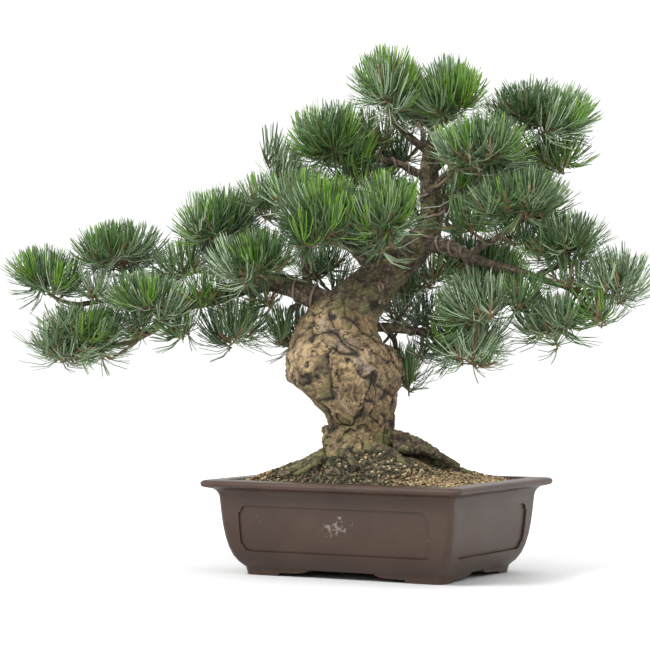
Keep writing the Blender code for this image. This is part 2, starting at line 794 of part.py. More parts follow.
def shoot_shape(twig, radii, rng, keep):
    """A three-sided twig that ends in a slim core, with a spike of needles on each face."""
    points, faces = tube(twig.points, radii, TWIG_SIDES)
    faces.pop()
    points = list(points)
    last = len(points) - TWIG_SIDES
    tip = twig.points[-1]
    middle = tip + twig.aim * CORE_LENGTH * 0.6
    ring = len(points)
    for k in range(TWIG_SIDES):
        between = (points[last + k] + points[last + (k + 1) % TWIG_SIDES]) / 2 - tip
        flat = unit(between - twig.aim * between.dot(twig.aim))
        points.append(tip + twig.aim * CORE_LENGTH + flat * CORE_RADIUS)
    crown = len(points)
    points.append(tip + twig.aim * (CORE_LENGTH + 0.8 * CORE_RADIUS))
    seats = []
    for k in range(TWIG_SIDES):
        after = (k + 1) % TWIG_SIDES
        seats.append((last + k, last + after, ring + k))
        seats.append((ring + k, last + after, ring + after))
        seats.append((ring + k, ring + after, crown))
    for seat in seats:
        corners = np.array([points[i] for i in seat])
        foot = corners.mean(axis=0)
        normal = unit(np.cross(corners[1] - corners[0], corners[2] - corners[0]))
        if normal.dot(foot - middle) < 0:
            normal = -normal
            seat = seat[::-1]
        heading = unit(normal + twig.aim * 0.25 + rng.normal(size=3) * 0.1)
        spike = keep(foot, heading, NEEDLE * rng.uniform(0.86, 1.06))
        if spike is None:
            faces.append(seat)
            continue
        points.append(spike)
        for i in range(3):
            faces.append((seat[i], seat[(i + 1) % 3], len(points) - 1))
    return np.array(points), faces


def make_mass(name, known, finish):
    twigs, walls, segments, rng = grow_mass(name, known)
    limb_tip_radius = known[MASSES[name][0]][1][-1]
    radii = twig_radii(twigs, limb_tip_radius)
    taken = []
    for number, twig in enumerate(twigs):
        taken += [(low, high, number) for low, high in zip(twig.points[:-1], twig.points[1:])]

    def keeper(owner):
        def keep(foot, heading, length):
            """The spike's point, shortened to stay clear of all else, or nothing."""
            others = [(low, high) for low, high, number in taken if number != owner]
            lows, highs = np.array(others).transpose(1, 0, 2)
            start = foot + heading * SPIKE_FOOT
            for share in (1.0, 0.85, 0.7, 0.56):
                peak = foot + heading * length * share
                if not in_space(peak[None], name, walls):
                    continue
                if touches(start[None], peak[None], segments, SPIKE_RADIUS):
                    continue
                if (segment_gaps(start[None], peak[None], lows, highs) < SPIKE_ROOM).any():
                    continue
                taken.append((start, peak, owner))
                return peak
            return None

        return keep

    mass = solid(name, tube(twigs[0].points, radii[0], STEM_SIDES, twigs[0].ahead), finish, 30)
    group = bpy.data.collections.new(name)
    bpy.context.scene.collection.children.link(group)
    shoots = []
    for number, twig in enumerate(twigs[1:], 1):
        shape = facing_out(shoot_shape(twig, radii[number], rng, keeper(number)))
        shoot = solid(f"{name}_shoot_{number}", shape, finish, 30)
        bpy.context.scene.collection.objects.unlink(shoot)
        group.objects.link(shoot)
        shoots.append(shoot)
    modifier = mass.modifiers.new("shoots", "BOOLEAN")
    modifier.operation = "UNION"
    modifier.solver = "EXACT"
    modifier.operand_type = "COLLECTION"
    modifier.collection = group
    settle(mass)
    for shoot in shoots:
        remove(shoot)
    bpy.data.collections.remove(group)
    return mass


def main():
    for old in list(bpy.data.objects):
        bpy.data.objects.remove(old)
    brown_clay = material("brown_clay", (0.107, 0.071, 0.056), 0.45)
    granular_soil = material("granular_soil", (0.25, 0.19, 0.10), 0.95)
    plated_bark = material("plated_bark", (0.21, 0.15, 0.09), 0.9)
    bough_bark = material("bough_bark", (0.15, 0.11, 0.075), 0.9)
    pine_needles = material("pine_needles", (0.07, 0.14, 0.075), 0.6)
    known = {TRUNK: trunk_rows()}
    for name in LIMBS:
        known[name] = limb_rows(name, known)
    pieces = [make_pot(brown_clay)]
    pieces.append(solid("soil", soil_shape(), granular_soil, 60))
    pieces.append(make_trunk(plated_bark))
    pieces += make_limbs(known, bough_bark)
    for name in MASSES:
        pieces.append(make_mass(name, known, pine_needles))
    plant = bpy.data.objects.new("plant", None)
    bpy.context.scene.collection.objects.link(plant)
    for piece in pieces:
        piece.parent = plant


main()
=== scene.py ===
"""Looks of the japanese white pine bonsai: bark, twigs, needles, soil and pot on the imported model.

Metres, +Z up, in the frame's own directions. The crown grows by the same rule as the solids:
across (along its broad side), away (towards its back) and up, from the middle of the pot.
"""

import itertools
import json
import math

import bpy
import numpy as np
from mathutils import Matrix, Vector, noise

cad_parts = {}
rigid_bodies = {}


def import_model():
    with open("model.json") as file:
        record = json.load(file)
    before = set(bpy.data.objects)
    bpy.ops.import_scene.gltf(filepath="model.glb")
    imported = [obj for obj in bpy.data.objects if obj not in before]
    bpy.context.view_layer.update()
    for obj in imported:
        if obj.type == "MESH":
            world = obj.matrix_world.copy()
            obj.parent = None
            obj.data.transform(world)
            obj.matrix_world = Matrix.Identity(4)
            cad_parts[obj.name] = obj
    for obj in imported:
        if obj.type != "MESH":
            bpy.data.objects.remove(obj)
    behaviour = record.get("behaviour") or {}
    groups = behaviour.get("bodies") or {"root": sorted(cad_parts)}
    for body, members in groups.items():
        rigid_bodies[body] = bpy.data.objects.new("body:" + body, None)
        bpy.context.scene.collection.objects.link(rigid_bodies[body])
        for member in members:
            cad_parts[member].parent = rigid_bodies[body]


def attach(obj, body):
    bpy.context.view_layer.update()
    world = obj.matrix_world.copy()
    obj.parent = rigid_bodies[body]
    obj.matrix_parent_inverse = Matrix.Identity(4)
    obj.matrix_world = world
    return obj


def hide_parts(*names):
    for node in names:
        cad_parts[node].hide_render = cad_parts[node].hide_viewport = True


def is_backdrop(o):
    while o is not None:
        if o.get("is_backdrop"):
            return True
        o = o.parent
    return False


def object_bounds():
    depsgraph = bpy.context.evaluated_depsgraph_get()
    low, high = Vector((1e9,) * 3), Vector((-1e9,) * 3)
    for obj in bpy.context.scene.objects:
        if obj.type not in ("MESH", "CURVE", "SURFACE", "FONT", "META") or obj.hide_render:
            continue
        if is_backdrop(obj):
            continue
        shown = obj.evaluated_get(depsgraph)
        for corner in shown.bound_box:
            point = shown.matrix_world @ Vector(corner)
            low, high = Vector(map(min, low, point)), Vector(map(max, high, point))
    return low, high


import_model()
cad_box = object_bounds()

MM = 0.001
UP = np.array([0.0, 0.0, 1.0])

# Gap between pieces that touch, and the least room between a twig and a limb
GAP = 0.3 * MM
CLEAR = 0.8 * MM

# Middle of the pot, and the turn of the crown's broad side from the pot's long side
POT_MIDDLE = (55.5 * MM, -22.4 * MM)
CROWN_TURN = math.radians(29.4)

# Pot: outer size over the lip, then its section as distances in from the lip's edge
POT_LENGTH = 320 * MM
POT_WIDTH = 246 * MM
POT_HEIGHT = 105 * MM
POT_CORNER = 9 * MM
CORNER_STEPS = 8
LIP_THICK = 8 * MM
LIP_UNDERSIDE = 7 * MM
LIP_TOP = 23 * MM
NECK_INSET = 15.7 * MM
NECK_HEIGHT = 84 * MM
BODY_BULGE = (18.5 * MM, 45 * MM)
BODY_TUCK = (22 * MM, 20 * MM)
FOOT_INSET = 37 * MM
FOOT_HEIGHT = 8.2 * MM
FOOT_TAPER = 1.6 * MM
FLOOR_INSET = 36 * MM
FLOOR_TOP = 18 * MM
PANEL_DEPTH = 2.2 * MM
PANEL_BOTTOM = 27 * MM
PANEL_TOP = 78 * MM
PANEL_STEP = 2.6 * MM
PANEL_ROUND = 7 * MM
LONG_PANEL_HALF = 117 * MM
SHORT_PANEL_HALF = 82 * MM
LONG_FOOT = (38 * MM, 43 * MM)
SHORT_FOOT = (22 * MM, 48 * MM)

# Soil: its edge lies under the lip and it rises to a level seat under the trunk
SOIL_EDGE = 99 * MM
SOIL_SEAT = 127 * MM
SEAT_RADIUS = 50 * MM

# Trunk: across, away, up and radius at each station, in millimetres
TRUNK_STATIONS = (
    (-22, 0, 127, 43),
    (-22, 0, 146, 38),
    (-20, 0, 166, 38),
    (-27, 0, 184, 49),
    (-35, 0, 202, 58),
    (-39, 0, 224, 59),
    (-44, 0, 247, 53),
    (-43, 0, 266, 42),
    (-33, 1, 286, 32),
    (-16, 2, 306, 27),
    (6, 4, 330, 23),
    (32, 6, 353, 18.5),
    (53, 8, 374, 14.5),
    (60, 8, 400, 12.5),
    (58, 8, 430, 10.5),
    (57, 7, 458, 8.5),
    (63, 5, 486, 6.5),
)
TRUNK_STEPS = 21
FLARE_HEIGHT = 34 * MM
# Root ridges of the flare: direction in degrees from across, and how far each swells
FLARE_RIDGES = ((8, 0.26), (95, 0.16), (168, 0.10), (235, 0.18), (300, 0.20))
# Roots that run on over the soil: start, middle and tip, then the radius at each end
SURFACE_ROOTS = (
    ((-4, -6, 146), (44, -14, 134), (104, -12, 112), 13, 3),
    ((-30, -4, 138), (-76, -6, 124), (-104, 2, 113), 10, 3),
    ((-24, 8, 138), (-10, 52, 124), (14, 84, 110), 10, 3),
)

# Limbs: parent, how far along it, tip (across, away, up), radius at start and tip, lift
TRUNK = "trunk"
LIMBS = {
    "bough_left": (TRUNK, 0.50, (-168, 42, 313), 14.5, 8.5, 26),
    "bough_far_left": ("bough_left", 1.0, (-258, 66, 268), 8.5, 4.0, 8),
    "bough_left_top": ("bough_left", 0.72, (-170, 54, 350), 5.5, 3.2, 6),
    "bough_left_front": ("bough_left", 0.50, (-124, 0, 330), 5.5, 3.0, 6),
    "bough_left_back": ("bough_left", 0.60, (-150, 97, 332), 5.5, 3.0, 4),
    "bough_left_hanging": ("bough_left", 0.80, (-140, 34, 292), 4.0, 2.6, -8),
    "bough_left_under": ("bough_left", 0.36, (-97, 48, 296), 4.5, 2.6, -6),
    "bough_tall_shoots": ("bough_left", 0.30, (-100, 62, 392), 5.0, 2.6, 10),
    "bough_far_left_inner": ("bough_far_left", 0.30, (-240, 42, 290), 4.5, 2.6, 6),
    "bough_far_left_top": ("bough_far_left", 0.46, (-270, 86, 322), 4.5, 2.8, 10),
    "bough_far_left_tip": ("bough_far_left", 0.72, (-338, 96, 300), 4.0, 2.6, 14),
    "bough_front_left": (TRUNK, 0.62, (-40, -50, 362), 8.0, 3.6, 6),
    "bough_front": (TRUNK, 0.69, (17, -56, 360), 7.0, 3.4, 4),
    "bough_back_left": (TRUNK, 0.66, (-18, 76, 358), 8.0, 3.6, 6),
    "bough_right": (TRUNK, 0.72, (128, -62, 339), 8.5, 4.6, 10),
    "bough_far_right": ("bough_right", 1.0, (203, -86, 315), 4.6, 2.8, 6),
    "bough_right_middle": ("bough_right", 0.66, (140, -86, 380), 4.2, 2.6, 0),
    "bough_right_low": ("bough_right", 0.60, (108, -58, 318), 4.0, 2.6, -4),
    "bough_far_right_top": ("bough_far_right", 0.55, (190, -86, 337), 3.4, 2.4, 2),
    "bough_far_right_low": ("bough_far_right", 0.45, (180, -80, 298), 3.2, 2.4, -4),
    "bough_back_right": (TRUNK, 0.72, (92, 60, 345), 6.5, 3.2, 6),
    "bough_right_back": (TRUNK, 0.80, (104, 50, 415), 6.0, 3.0, 4),
    "bough_right_front": (TRUNK, 0.86, (84, -50, 444), 5.5, 2.8, 2),
    "bough_upper_right": (TRUNK, 0.91, (124, -8, 487), 5.5, 3.0, 8),
    "bough_upper_left": (TRUNK, 0.89, (-28, 10, 466), 4.6, 2.8, 6),
    "bough_apex_left": (TRUNK, 0.96, (18, -8, 500), 5.0, 3.0, -4),
    "bough_apex_back": (TRUNK, 0.94, (52, 50, 494), 4.5, 2.8, 2),
    "bough_low_right": (TRUNK, 0.44, (80, 26, 264), 6.5, 3.4, 10),
    "bough_low_hanging": ("bough_low_right", 0.42, (24, 44, 246), 3.4, 2.4, -2),
}
LIMB_STEPS = 5
WANDER = 0.05

# Masses of foliage: limb, middle and half size (across, away, up), number of shoots
MASSES = {
    "foliage_far_left_tip": ("bough_far_left_tip", (-381, 98, 328), (50, 44, 40), 6),
    "foliage_far_left_top": ("bough_far_left_top", (-294, 92, 355), (62, 56, 42), 6),
    "foliage_far_left_low": ("bough_far_left", (-340, 78, 270), (60, 46, 36), 6),
    "foliage_far_left_inner": ("bough_far_left_inner", (-256, 40, 300), (58, 50, 42), 6),
    "foliage_left_top": ("bough_left_top", (-176, 58, 380), (54, 52, 54), 6),
    "foliage_left_front": ("bough_left_front", (-134, -14, 345), (52, 46, 42), 6),
    "foliage_left_back": ("bough_left_back", (-160, 136, 348), (54, 52, 46), 6),
    "foliage_left_hanging": ("bough_left_hanging", (-160, 36, 270), (44, 42, 38), 5),
    "foliage_left_under": ("bough_left_under", (-96, 52, 264), (34, 38, 40), 4),
    "foliage_tall_shoots": ("bough_tall_shoots", (-112, 62, 446), (32, 34, 60), 5),
    "foliage_centre_left": ("bough_front_left", (-62, -62, 386), (52, 56, 58), 6),
    "foliage_centre_right": ("bough_front", (10, -84, 384), (50, 50, 58), 6),
    "foliage_centre_back": ("bough_back_left", (-34, 116, 382), (58, 52, 56), 6),
    "foliage_upper_left": ("bough_upper_left", (-50, 12, 474), (50, 58, 54), 6),
    "foliage_apex_left": ("bough_apex_left", (10, -14, 532), (48, 50, 54), 6),
    "foliage_apex_right": (TRUNK, (78, -12, 526), (46, 48, 48), 6),
    "foliage_apex_back": ("bough_apex_back", (44, 84, 520), (52, 48, 50), 6),
    "foliage_upper_right": ("bough_upper_right", (170, -10, 506), (66, 56, 44), 6),
    "foliage_right_front": ("bough_right_front", (110, -82, 460), (60, 50, 46), 6),
    "foliage_right_back": ("bough_right_back", (142, 76, 432), (62, 56, 50), 6),
    "foliage_right_middle": ("bough_right_middle", (152, -100, 404), (62, 50, 42), 6),
    "foliage_right_low": ("bough_right_low", (108, -66, 292), (48, 46, 46), 5),
    "foliage_back_right": ("bough_back_right", (116, 96, 336), (60, 52, 50), 6),
    "foliage_far_right_top": ("bough_far_right_top", (199, -92, 358), (52, 46, 42), 5),
    "foliage_far_right_tip": ("bough_far_right", (252, -102, 318), (46, 44, 44), 5),
    "foliage_far_right_low": ("bough_far_right_low", (192, -84, 278), (50, 44, 42), 5),
    "foliage_low_back": ("bough_low_right", (100, 26, 256), (54, 44, 40), 5),
    "foliage_low_hanging": ("bough_low_hanging", (28, 50, 222), (36, 38, 40), 4),
}
SEED = 7
NEEDLE = 44 * MM
TWIG_RADIUS = 1.3 * MM
CORE_RADIUS = 5.4 * MM
SHOOT_ROOM = 14 * MM
TRIES = 8
GOLDEN_ANGLE = math.pi * (3 - math.sqrt(5))


# Small vector helpers


def at(across, away, up):
    """The point of the tree's own directions, given in millimetres."""
    turn, far = math.cos(CROWN_TURN), math.sin(CROWN_TURN)
    x = POT_MIDDLE[0] + (across * turn - away * far) * MM
    y = POT_MIDDLE[1] + (across * far + away * turn) * MM
    return np.array([x, y, up * MM])


def unit(vector):
    return vector / np.linalg.norm(vector)


def bezier(start, first, second, end, count):
    t = np.linspace(0, 1, count)[:, None]
    return (
        (1 - t) ** 3 * start
        + 3 * (1 - t) ** 2 * t * first
        + 3 * (1 - t) * t**2 * second
        + t**3 * end
    )


def smooth_rows(rows, count):
    """Rows read off a smooth curve that runs through the given ones."""
    rows = np.asarray(rows, float)
    padded = np.vstack([2 * rows[0] - rows[1], rows, 2 * rows[-1] - rows[-2]])
    places = np.linspace(0, len(rows) - 1, count)
    cells = np.minimum(places.astype(int), len(rows) - 2)
    t = (places - cells)[:, None]
    a, b, c, d = (padded[cells + i] for i in range(4))
    return 0.5 * (
        2 * b
        + (c - a) * t
        + (2 * a - 5 * b + 4 * c - d) * t**2
        + (3 * b - a - 3 * c + d) * t**3
    )


def frames(path, ahead=None):
    """Tangent and two normals at each point. Ahead is the tangent to start on."""
    tangents = np.gradient(path, axis=0)
    tangents /= np.linalg.norm(tangents, axis=1)[:, None]
    if ahead is not None:
        tangents[0] = ahead
    side = np.cross(tangents[0], [0.0, 1.0, 0.0])
    if np.linalg.norm(side) < 0.1:
        side = np.cross(tangents[0], [1.0, 0.0, 0.0])
    sides = []
    for tangent in tangents:
        side = unit(side - tangent * side.dot(tangent))
        sides.append(side)
    sides = np.array(sides)
    return tangents, sides, np.cross(tangents, sides)


def finer(path, radii, count):
    """A path and its radii read off at this many places."""
    return smooth_rows(path, count), smooth_rows(radii[:, None], count)[:, 0]


def ring_angles(around):
    return np.arange(around) * 2 * math.pi / around


def spokes_round(side, other, angles):
    """Unit vectors at these angles round each point of a path."""
    return np.cos(angles)[:, None] * side[:, None] + np.sin(angles)[:, None] * other[:, None]


def segment_gaps(a, b, c, d):
    """Distances between the segments a-b (n of them) and c-d (m of them)."""
    u = (b - a)[:, None]
    v = (d - c)[None]
    w = a[:, None] - c[None]
    uu = (u * u).sum(-1) + 1e-18
    uv = (u * v).sum(-1)
    vv = (v * v).sum(-1) + 1e-18
    uw = (u * w).sum(-1)
    vw = (v * w).sum(-1)
    spread = np.maximum(uu * vv - uv * uv, 1e-18)
    s = np.clip((uv * vw - vv * uw) / spread, 0, 1)
    t = np.clip((uv * s + vw) / vv, 0, 1)
    s = np.clip((uv * t - uw) / uu, 0, 1)
    return np.linalg.norm(w + s[..., None] * u - t[..., None] * v, axis=-1)


# Tubes and lofted bodies


def lofted(rings):
    """Points and faces of a closed body that runs through rings of equal length."""
    count = len(rings[0])
    points = np.concatenate(rings)
    faces = [tuple(reversed(range(count)))]
    for ring in range(len(rings) - 1):
        for i in range(count):
            j = (i + 1) % count
            low = ring * count
            faces.append((low + i, low + j, low + count + j, low + count + i))
    last = (len(rings) - 1) * count
    faces.append(tuple(range(last, last + count)))
    return points, faces


# Pot outline


def pot_ring(inset, height):
    """Points round the pot, this far in from the lip's edge."""
    half_x = POT_LENGTH / 2 - inset - POT_CORNER
    half_y = POT_WIDTH / 2 - inset - POT_CORNER
    ring = []
    for quarter, (sx, sy) in enumerate(((1, 1), (-1, 1), (-1, -1), (1, -1))):
        for step in range(CORNER_STEPS + 1):
            angle = (quarter + step / CORNER_STEPS) * math.pi / 2
            x = POT_MIDDLE[0] + sx * half_x + POT_CORNER * math.cos(angle)
            y = POT_MIDDLE[1] + sy * half_y + POT_CORNER * math.sin(angle)
            ring.append((x, y, height))
    return np.array(ring)


def quarter_curve(start, end, steps, upright_first):
    """Points after start on a quarter of an ellipse from start to end."""
    found = []
    for step in range(1, steps + 1):
        angle = step / steps * math.pi / 2
        slow, fast = 1 - math.cos(angle), math.sin(angle)
        along, rise = (slow, fast) if upright_first else (fast, slow)
        found.append(
            (start[0] + (end[0] - start[0]) * along, start[1] + (end[1] - start[1]) * rise)
        )
    return found


def pot_section():
    """Inset and height, from under the foot, up the wall, over the lip and down inside."""
    lip_low = POT_HEIGHT - LIP_THICK
    middle = POT_HEIGHT - LIP_THICK / 2
    section = [(FOOT_INSET + FOOT_TAPER, 0.0), (FOOT_INSET, FOOT_HEIGHT)]
    wall = bezier(
        np.array([FOOT_INSET - 0.4 * MM, FOOT_HEIGHT + 0.5 * MM]),
        np.array(BODY_TUCK),
        np.array(BODY_BULGE),
        np.array([NECK_INSET, NECK_HEIGHT]),
        8,
    )
    section += [tuple(row) for row in wall]
    section += quarter_curve(section[-1], (LIP_UNDERSIDE, lip_low - 1 * MM), 4, True)
    section.append((LIP_THICK / 3, lip_low))
    section += quarter_curve(section[-1], (0.0, middle), 2, False)
    section += quarter_curve(section[-1], (LIP_THICK / 2, POT_HEIGHT), 3, True)
    section.append((LIP_TOP - 1.5 * MM, POT_HEIGHT))
    section.append((LIP_TOP, POT_HEIGHT - 1.5 * MM))
    section.append((LIP_TOP + 3 * MM, POT_HEIGHT / 2))
    section.append((FLOOR_INSET, FLOOR_TOP))
    return section


def foot_arch(opening_half, run, depth):
    """Outline of the opening between two feet, with a two-step curve at each end."""
    step = run * 0.14
    shelf = run * 0.38
    half = [(opening_half, -depth), (opening_half, 0.0)]
    half += quarter_curve(half[-1], (opening_half - step, FOOT_HEIGHT * 0.42), 3, False)
    half.append((opening_half - step - shelf, FOOT_HEIGHT * 0.46))
    half += quarter_curve(half[-1], (opening_half - run, FOOT_HEIGHT), 4, False)
    return half + [(-along, up) for along, up in reversed(half)]


def panel_outline(half):
    """Outline of a sunk panel: a rectangle whose round corners stand one step in."""
    tall = (PANEL_TOP - PANEL_BOTTOM) / 2
    middle = (PANEL_TOP + PANEL_BOTTOM) / 2
    corner = [(half, tall - PANEL_ROUND - 1 * MM)]
    corner.append((half - PANEL_STEP, tall - PANEL_ROUND))
    corner += quarter_curve(corner[-1], (half - PANEL_STEP - PANEL_ROUND, tall), 4, True)
    outline = []
    for sx, sz in ((1, 1), (-1, 1), (-1, -1), (1, -1)):
        part = [(sx * along, middle + sz * up) for along, up in corner]
        outline += part if sx * sz > 0 else part[::-1]
    return outline


def prism(outline, start, end, facing):
    """Body of an outline of (along, up), drawn out along X or Y from start to end."""
    rings = []
    for reach in (start, end):
        if facing == "Y":
            ring = [(POT_MIDDLE[0] + along, POT_MIDDLE[1] + reach, up) for along, up in outline]
        else:
            ring = [(POT_MIDDLE[0] + reach, POT_MIDDLE[1] + along, up) for along, up in outline]
        rings.append(np.array(ring))
    return lofted(rings)


def facing_out(shape):
    """The same closed shape with its faces turned outwards."""
    points, faces = shape
    volume = 0.0
    for face in faces:
        for i in range(1, len(face) - 1):
            a, b, c = points[face[0]], points[face[i]], points[face[i + 1]]
            volume += float(np.dot(a, np.cross(b, c)))
    return (points, faces) if volume > 0 else (points, [face[::-1] for face in faces])


# Trunk and limbs


def trunk_rows(count):
    """Path and radius of the trunk, from its flat cut to its tip."""
    rows = smooth_rows(TRUNK_STATIONS, count)
    path = np.array([at(*row[:3]) for row in rows])
    path[0, 2] = SOIL_SEAT + GAP
    return path, rows[:, 3] * MM


def end_direction(path):
    return unit(path[-1] - path[-2])


def limb_rows(name, known):
    """Path and radius of a limb, which starts on its parent's middle line or at its tip."""
    parent, fraction, tip, start_radius, tip_radius, lift = LIMBS[name]
    parent_path, _ = known[parent]
    tip = at(*tip)
    rng = np.random.default_rng(SEED + list(LIMBS).index(name))
    if fraction == 1.0:
        ahead = end_direction(parent_path)
        start = parent_path[-1] + ahead * GAP
        reach = tip - start
        first = start + ahead * np.linalg.norm(reach) * 0.35
    else:
        place = fraction * (len(parent_path) - 1)
        cell = int(place)
        start = parent_path[cell] + (parent_path[cell + 1] - parent_path[cell]) * (place - cell)
        reach = tip - start
        first = start + reach * 0.33 + UP * lift * MM
    second = start + reach * 0.7 + UP * lift * 0.7 * MM
    path = bezier(start, first, second, tip, LIMB_STEPS + 1)
    t = np.linspace(0, 1, LIMB_STEPS + 1)
    bend = unit(np.cross(reach, rng.normal(size=3)))
    sway = np.sin(math.pi * t) * np.sin(5 * t + rng.uniform(0, 6))
    path = path + np.outer(sway, bend) * np.linalg.norm(reach) * WANDER
    radii = (start_radius + (tip_radius - start_radius) * t**0.8) * MM
    return path, radii


def limb_segments(known):
    """Ends and radius of every short stretch of the trunk and the limbs."""
    starts = np.vstack([path[:-1] for path, _ in known.values()])
    ends = np.vstack([path[1:] for path, _ in known.values()])
    thick = [np.maximum(radii[:-1], radii[1:]) for _, radii in known.values()]
    return starts, ends, np.concatenate(thick) * 1.08


# Growth of a mass


class Twig:
    """A stem or twig: its points, the twig it leaves and at which point, and its load."""

    def __init__(self, points, parent=None, joint=0, aim=None, ahead=None):
        self.points = points
        self.parent = parent
        self.joint = joint
        self.load = 0
        self.aim = unit(points[-1] - points[-2]) if aim is None else aim
        self.ahead = ahead


def mass_middle(name):
    return at(*MASSES[name][1])


def mass_half(name):
    return np.array(MASSES[name][2]) * MM


def mass_axes():
    turn, far = math.cos(CROWN_TURN), math.sin(CROWN_TURN)
    return np.array([[turn, far, 0.0], [-far, turn, 0.0], [0.0, 0.0, 1.0]])


def space_walls(name):
    """Planes between this mass and each other one, as normals and distances."""
    axes = mass_axes()
    middle = mass_middle(name)
    normals = []
    offsets = []
    for other in MASSES:
        if other == name:
            continue
        between = mass_middle(other) - middle
        normal = unit(between)
        own = np.linalg.norm(mass_half(name) * (axes @ normal))
        theirs = np.linalg.norm(mass_half(other) * (axes @ normal))
        share = own / (own + theirs) * np.linalg.norm(between)
        normals.append(normal)
        offsets.append(normal.dot(middle) + share - CLEAR)
    return np.array(normals), np.array(offsets)


def in_space(points, name, walls):
    """Whether all points lie in the mass's own space."""
    normals, offsets = walls
    if (points @ normals.T > offsets).any():
        return False
    local = (points - mass_middle(name)) @ mass_axes().T / mass_half(name)
    return bool((np.linalg.norm(local, axis=1) < MASS_REACH).all())


def touches(starts, ends, segments, radius):
    """Whether any of these stretches comes too near a limb."""
    low, high, thick = segments
    return bool((segment_gaps(starts, ends, low, high) < thick + radius + CLEAR).any())


def inner_half(half, inset):
    """Half sizes of the space within which shoots end."""
    share, least = inset
    return np.maximum(half - share * NEEDLE, least * half)


def shoot_spiral(middle, inner, rule, count, rng):
    """Ends and aims of shoots on a spiral over an ellipsoid, one after the other."""
    highest, fall, first, shares, (outward, rise, waver) = rule
    axes = mass_axes()
    turn = rng.uniform(0, 2 * math.pi)
    for i in range(count):
        level = highest - fall * ((i * GOLDEN_SHARE + first) % 1.0)
        flat = math.sqrt(max(0.0, 1 - level * level))
        angle = turn + i * GOLDEN_ANGLE
        out = np.array([flat * math.cos(angle), flat * math.sin(angle), level])
        place = middle + axes.T @ (inner * out * rng.uniform(*shares))
        aim = unit(axes.T @ out * outward + UP * rise + rng.normal(size=3) * waver)
        yield place, aim


def joint_for(twigs, place, aim, costs, least, from_tips):
    """The twig and point from which a shoot reaches its place at least cost."""
    straight, turned = costs
    best = None
    for number, twig in enumerate(twigs):
        count = len(twig.points)
        for joint in range(1, count if from_tips or number == 0 else count - 1):
            step = place - twig.points[joint]
            length = np.linalg.norm(step)
            if length <= least:
                continue
            cost = length * (straight - turned * unit(step).dot(aim))
            if best is None or cost < best[0]:
                best = (cost, number, joint)
    return best[1:]


def shoot_points(start, place, aim, count):
    """Points of a twig that ends at its place, turned to its aim."""
    bend = place - aim * np.linalg.norm(place - start) * 0.4
    return bezier(start, start + (bend - start) * 0.6, bend, place, count)


def crowded(twigs, place, room):
    """Whether another twig ends too near this place."""
    tips = np.array([twig.points[-1] for twig in twigs])
    return bool((np.linalg.norm(tips - place, axis=1) < room).any())


def grow_mass(name, known, segments):
    """The twigs of one mass, first its stem and then one for each shoot, and its walls."""
    limb, _, half, shoots = MASSES[name]
    rng = np.random.default_rng(SEED * 100 + list(MASSES).index(name))
    path, _ = known[limb]
    ahead = end_direction(path)
    root = path[-1] + ahead * GAP
    heart = mass_middle(name) - UP * half[2] * MM * 0.2
    reach = np.linalg.norm(heart - root)
    stem = bezier(root, root + ahead * reach * 0.4, heart - UP * reach * 0.2, heart, 5)
    twigs = [Twig(stem, ahead=ahead)]
    walls = space_walls(name)
    inner = inner_half(mass_half(name), MASS_INSET)
    for place, aim in shoot_spiral(mass_middle(name), inner, MASS_SPIRAL, shoots * TRIES, rng):
        number, joint = joint_for(twigs, place, aim, MASS_COSTS, MASS_LEAST, False)
        points = shoot_points(twigs[number].points[joint], place, aim, 3)
        if not in_space(points, name, walls):
            continue
        if touches(points[1:-1], points[2:], segments, CORE_RADIUS):
            continue
        if crowded(twigs, place, SHOOT_ROOM):
            continue
        twigs.append(Twig(points, number, joint, aim))
        if len(twigs) > shoots:
            break
    return twigs, walls


def twig_radii(twigs, limb_tip_radius):
    """Radius along each twig, stem first, by the number of shoots that it carries."""
    found = []
    for number, twig in enumerate(twigs):
        end = TWIG_RADIUS
        if number == 0:
            start = limb_tip_radius
            end = TWIG_RADIUS * 1.25
        else:
            start = TWIG_RADIUS * math.sqrt(twig.load)
            start = min(start, found[twig.parent][twig.joint] * 0.8)
            end = min(TWIG_RADIUS, start)
        found.append(np.linspace(start, end, len(twig.points)))
    return found


# Looks: sizes

# Spirals on which the shoots of a mass and the finer ones are placed: highest level and
# fall, first place, shares of the way out, and how far the aim leads out, rises and wavers
GOLDEN_SHARE = 0.618034
MASS_SPIRAL = (0.95, 1.5, 0.0, (0.75, 1.1), (1.0, 0.55, 0.12))
FINE_SPIRAL = (0.98, 1.62, 0.37, (0.4, 1.2), (0.8, 0.75, 0.2))
# How far the ends stay inside, as a share of a needle, and the least share of the half size
MASS_INSET = (0.72, 0.25)
FINE_INSET = (0.44, 0.45)
# What a joint costs by its distance, what is taken off straight ahead, and the least distance
MASS_COSTS = (1.6, 0.6)
FINE_COSTS = (1.7, 0.7)
MASS_LEAST = 8 * MM
FINE_LEAST = 7 * MM

# Finer growth: how much there is of it, its room, and the space that it may fill
FINE_SHARE = 3.0
FINE_ROOM = 13 * MM
FINE_THICK = 3 * MM
MASS_REACH = 1.12
TWIG_REACH = 1.15
REACH_SHARES = (0.98, 1.30)
SPACE_SLOPES = (1.12, 0.88)
WALL_OVERLAP = 14 * MM
BOX_SLACK = 5 * MM
SPRAY_MARGIN = 4
SPRAY_TIP = 2.0 * MM
SPRAY_PLACES = 60
THICK_LIMB = 22 * MM
THICK_COST = 60 * MM

